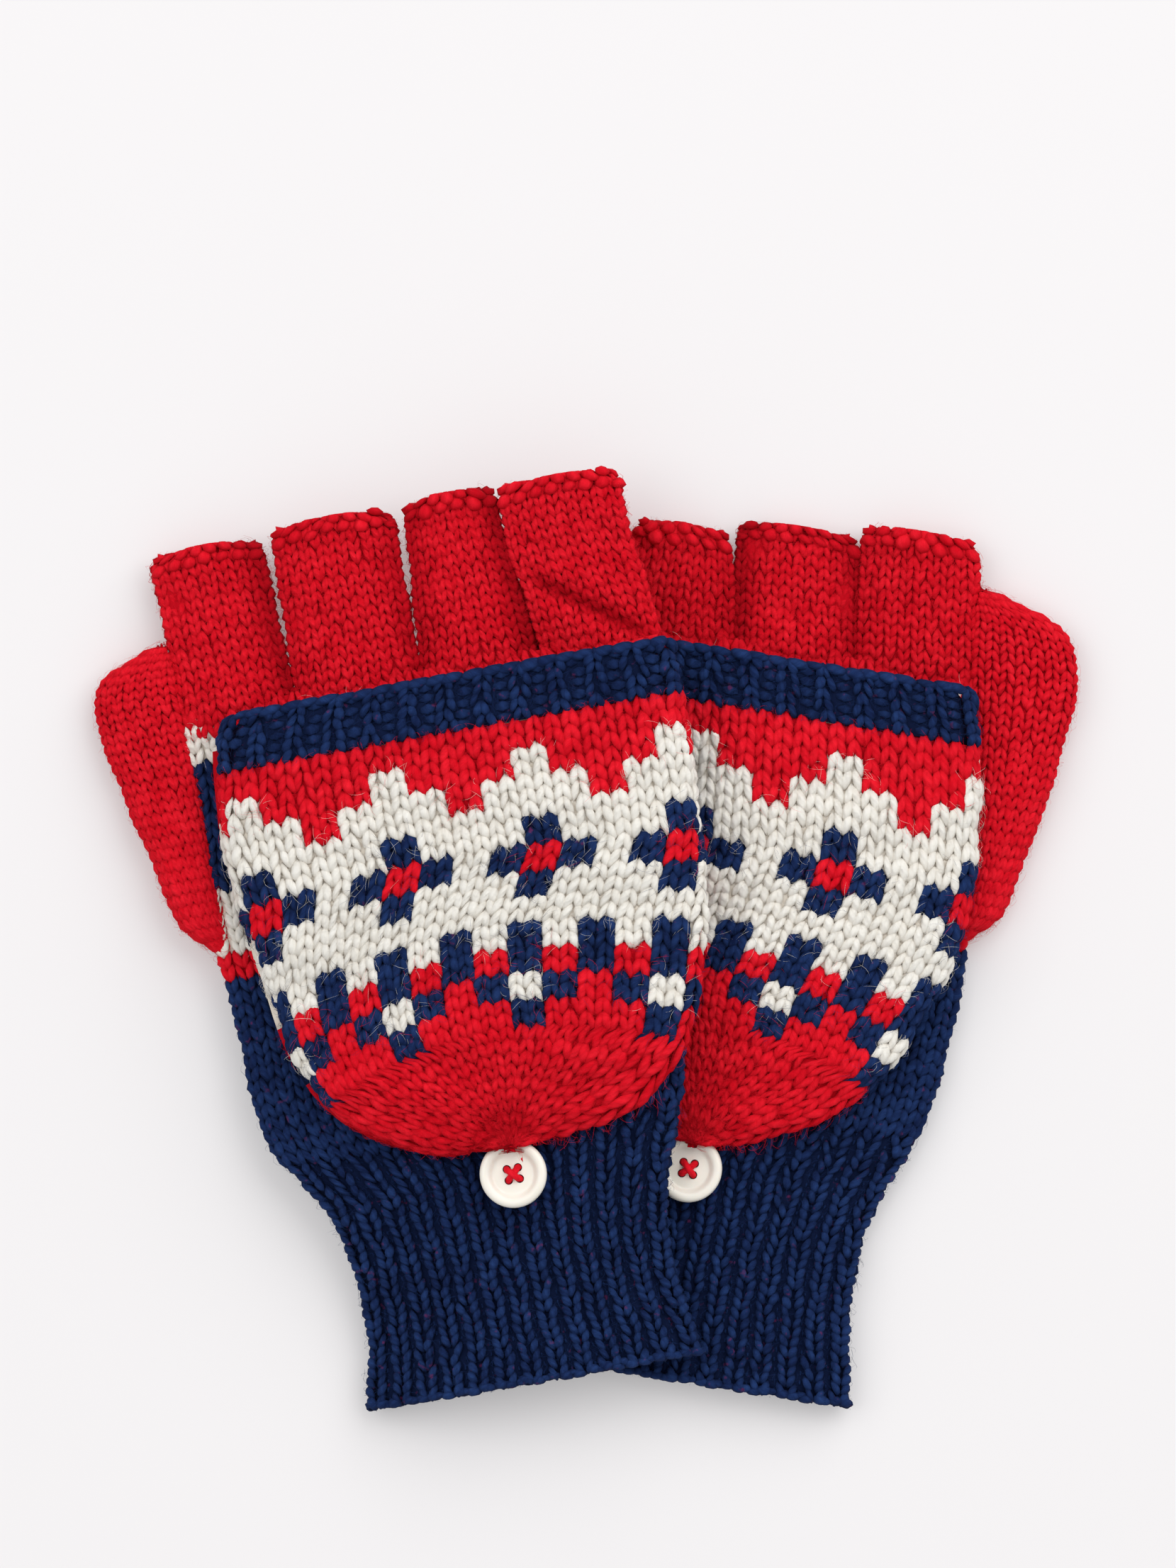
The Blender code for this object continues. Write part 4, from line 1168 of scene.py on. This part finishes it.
# ---------------------------------------------------------------- button, thread, loop and seam
def button_material():
    """Satin cream plastic, faintly uneven."""
    mat, tree, shader = new_material(
        "button_cream", Roughness=0.32, Subsurface_Weight=0.15, Subsurface_Radius=(0.002, 0.0015, 0.001),
        Coat_Weight=0.15, Coat_Roughness=0.25)
    cloud = noise(tree, add_node(tree, "ShaderNodeTexCoord").outputs["Object"], Scale=190, Detail=3)
    shade = mix(tree, cloud, (0.80, 0.755, 0.66), (0.88, 0.85, 0.78))
    tree.links.new(shade, shader.inputs["Base Color"])
    return mat


BUTTON_MATERIAL = button_material()


def button_frame(glove):
    """The button's middle and its axes, square to the fabric under it, in metres."""
    x, y = glove.button
    z = HAND_HEIGHT + SHANK
    middle = Vector(glove.place(x, y, z))
    up = (Vector(glove.place(x, y, z + 1)) - middle).normalized()
    across = Vector(glove.place(x + 1, y, z)) - middle
    across = (across - up * across.dot(up)).normalized()
    return Matrix.Translation(middle) @ Matrix((across, up.cross(across), up)).transposed().to_4x4()


def make_button(glove):
    """A turned four-hole button with a rounded rim, a groove and a dished middle."""
    r, t = BUTTON_RADIUS, BUTTON_THICKNESS
    profile = [
        (r * 0.30, BUTTON_DISH), (r * 0.50, BUTTON_DISH), (r * 0.57, BUTTON_DISH * 0.97),
        (r * 0.62, BUTTON_DISH * 1.02), (r * 0.66, t * 0.70), (r * 0.70, t * 0.84), (r * 0.75, t * 0.94),
        (r * 0.81, t * 0.99), (r * 0.87, t), (r * 0.93, t * 0.95), (r * 0.98, t * 0.82), (r, t * 0.62),
        (r * 0.985, t * 0.42), (r * 0.94, t * 0.24), (r * 0.85, t * 0.09), (r * 0.74, 0), (r * 0.4, 0),
    ]
    steps = 96
    verts = []
    for i in range(steps):
        a = 2 * math.pi * i / steps
        verts += [(x * MM * math.cos(a), x * MM * math.sin(a), z * MM) for x, z in profile]
    ring = len(profile)
    top, bottom = len(verts), len(verts) + 1
    verts += [(0, 0, BUTTON_DISH * MM), (0, 0, 0)]
    faces = []
    for i in range(steps):
        a, b = i * ring, (i + 1) % steps * ring
        faces.append((top, a, b))
        faces += [(a + k, a + k + 1, b + k + 1, b + k) for k in range(ring - 1)]
        faces.append((bottom, b + ring - 1, a + ring - 1))
    mesh = bpy.data.meshes.new(f"{glove.name}_button_cream")
    mesh.from_pydata(verts, [], faces)
    mesh.validate()
    button = add_object(mesh.name, mesh)
    cut_button_holes(button)
    button.data.transform(button_frame(glove))
    button.data.shade_smooth()
    button.data.set_sharp_from_angle(angle=math.radians(50))
    button.data.materials.clear()
    button.data.materials.append(BUTTON_MATERIAL)
    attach(button, f"{glove.name}_hand")
    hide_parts(f"{glove.name}_button")


def cut_button_holes(button):
    """Cuts the four holes with cylinders that are then removed."""
    for i in range(4):
        a = math.radians(45 + 90 * i)
        at = (BUTTON_HOLE_AT * math.cos(a) * MM, BUTTON_HOLE_AT * math.sin(a) * MM, 0.001)
        bpy.ops.mesh.primitive_cylinder_add(vertices=20, radius=BUTTON_HOLE * MM, depth=0.006, location=at)
        cutter = bpy.context.object
        cut = button.modifiers.new("hole", "BOOLEAN")
        cut.operation = "DIFFERENCE"
        cut.solver = "EXACT"
        cut.object = cutter
        bpy.context.view_layer.update()
        shown = button.evaluated_get(bpy.context.evaluated_depsgraph_get())
        mesh = bpy.data.meshes.new_from_object(shown)
        button.modifiers.clear()
        button.data = mesh
        bpy.data.objects.remove(cutter)


THREAD_RADIUS = 0.62
LOOP_RADIUS = 0.55
SEAM_RADIUS = 0.6
LOOP_REACH = 2.9     # how far the loop's round end passes from the button's axis
LOOP_HEIGHT = HAND_HEIGHT + 0.85
SEAM_STITCH = 2.4


def add_strand(yarn, points, radius, sides=8):
    """Adds a yarn through points, in metres, with rounded ends."""
    points = np.asarray(points, float)
    run = np.concatenate([[0], np.cumsum(np.linalg.norm(np.diff(points, axis=0), axis=1))])
    count = max(12, int(run[-1] / (radius * MM) / 0.9))
    even = np.linspace(0, run[-1], count)
    line = np.stack([np.interp(even, run, points[:, k]) for k in range(3)], -1)
    line[1:-1] = (line[:-2] + 2 * line[1:-1] + line[2:]) / 4
    ahead = np.gradient(line, axis=0)
    ahead /= np.linalg.norm(ahead, axis=1, keepdims=True)
    side = np.cross(ahead, (0.02, 0.03, 1.0))
    side /= np.linalg.norm(side, axis=1, keepdims=True)
    up = np.cross(side, ahead)
    t = np.linspace(0, 1, count)[1:-1]
    taper = np.minimum(1, np.minimum(t, 1 - t) * count / 3) ** 0.5
    angle = 2 * np.pi * np.arange(sides) / sides
    plies = 1 + 0.08 * np.cos(3 * angle[None] + even[1:-1, None] / (radius * MM) * 1.4)
    rings = line[1:-1, None] + (radius * MM * taper[:, None] * plies)[..., None] * (
        np.cos(angle)[None, :, None] * side[1:-1, None] + np.sin(angle)[None, :, None] * up[1:-1, None])
    verts = np.concatenate([rings.reshape(-1, 3), line[:1], line[-1:]])
    quads, tris, quad_place, tri_place = lobe_faces(count - 2, sides)
    scale = run[-1] / MM / PLY_PITCH / count

    def uv_of(place):
        return np.stack([place[0] / sides, (place[1] + 1) * scale], -1)

    yarn.add(verts, quads, tris, uv_of(quad_place), uv_of(tri_place), np.ones(len(verts)),
             np.full(len(verts), 0.5))


def make_thread(glove):
    """The red yarn that holds the button: a cross over its middle, down through its holes."""
    at_frame = button_frame(glove)
    yarn = Yarn()
    out = BUTTON_HOLE_AT + 0.1
    for a, over in ((45, 0.0), (135, 0.45)):
        c, s = math.cos(math.radians(a)), math.sin(math.radians(a))
        top = BUTTON_DISH + 0.55 + over
        half = [(out, -SHANK + 0.3), (out, BUTTON_DISH - 0.2), (out * 0.93, BUTTON_DISH + 0.35),
                (BUTTON_HOLE_AT * 0.55, top)]
        route = [*((-d, z) for d, z in half), (0, top + 0.12), *half[::-1]]
        points = [at_frame @ (Vector((d * c, d * s, z)) * MM) for d, z in route]
        add_strand(yarn, points, THREAD_RADIUS)
    finish_piece(yarn, glove, "button_thread_yarn", "r", "hand", "button_thread")


def make_loop(glove):
    """The yarn loop from the flap's tip round the button's shank."""
    x, y = glove.button
    reach = LOOP_REACH
    far = glove.tip + 1.2 - y
    half = [(1.6, far), (2.3, far * 0.55), (reach, 0.4)]
    round_shank = [(reach * math.cos(a), reach * math.sin(a)) for a in np.linspace(math.pi, 2 * math.pi, 9)]
    route = [*((-dx, dy) for dx, dy in half), *round_shank[1:-1], *half[::-1]]
    points = [glove.place(x + dx, y + dy, LOOP_HEIGHT) for dx, dy in route]
    yarn = Yarn()
    add_strand(yarn, points, LOOP_RADIUS)
    finish_piece(yarn, glove, "button_loop_yarn", "r", "flap", "button_loop")


def make_seam(glove):
    """The linked row of yarn on the line where the flap is sewn to the hand."""
    left = float(along(glove.flap_thumb_side, 0)) + 2.0
    right = float(along(glove.flap_little_side, 0)) - 3.5
    count = round((right - left) / SEAM_STITCH)
    yarn = Yarn()
    for i in range(count):
        a, b = (left + (right - left) * (i + ahead) / count for ahead in (0, 1.35))
        points = [glove.place(x, HINGE_AT + x * math.tan(HINGE_SLANT), HINGE_Z + lift)
                  for x, lift in ((a, -0.25), ((a + b) / 2, 0.3), (b, -0.25))]
        add_strand(yarn, points, SEAM_RADIUS, sides=6)
    finish_piece(yarn, glove, "flap_seam_yarn", "r", "hand", "flap_seam")


# ---------------------------------------------------------------- floor, light and camera
VIEW_HEIGHT = 0.2949   # the height of the view on the table, in metres
VIEW_FROM = 3.0        # how far above the table the camera is


def make_stage():
    """A plain pale floor, soft light from above and a camera that looks straight down."""
    bpy.ops.mesh.primitive_plane_add(size=6, location=(0, 0, -0.0002))
    floor = bpy.context.object
    floor.name = "floor"
    mat, _, _ = new_material("floor_pale", Base_Color=(0.585, 0.572, 0.578, 1), Emission_Strength=0.24,
                             Emission_Color=(1, 0.985, 0.99, 1), Roughness=0.9, Specular_IOR_Level=0.1)
    floor.data.materials.append(mat)

    world = bpy.data.worlds.new("studio")
    world.use_nodes = True
    set_inputs(world.node_tree.nodes["Background"], {"Color": (1, 1, 1, 1), "Strength": 0.61})
    bpy.context.scene.world = world

    add_light("key", (1.2, 1.5, 1.9), 2.7, 51)
    add_light("fill", (-1.5, 0.6, 2.2), 2.2, 22)

    data = bpy.data.cameras.new("camera")
    data.sensor_fit = "VERTICAL"
    data.sensor_height = 24
    data.lens = data.sensor_height * VIEW_FROM / VIEW_HEIGHT
    camera = add_object("camera", data)
    camera.location = (SHIFT[0], SHIFT[1], VIEW_FROM)
    bpy.context.scene.camera = camera
    bpy.context.scene.view_settings.view_transform = "Standard"


def add_light(name, place, size, power):
    """A square area light that looks at the middle of the gloves."""
    data = bpy.data.lights.new(name, "AREA")
    data.shape = "SQUARE"
    data.size = size
    data.energy = power
    light = add_object(name, data)
    light.location = place
    light.rotation_euler = (-Vector(place)).to_track_quat("-Z", "Y").to_euler()


def make_glove(glove):
    """All of one glove's pieces."""
    make_cuff(glove)
    make_hand(glove)
    for index, name in enumerate(FINGERS):
        make_finger(glove, index, name)
    for make in (make_thumb, make_flap_back, make_flap_front, make_flap_rib, make_seam, make_button,
                 make_thread, make_loop):
        make(glove)


make_stage()
make_glove(LEFT)
make_glove(RIGHT)
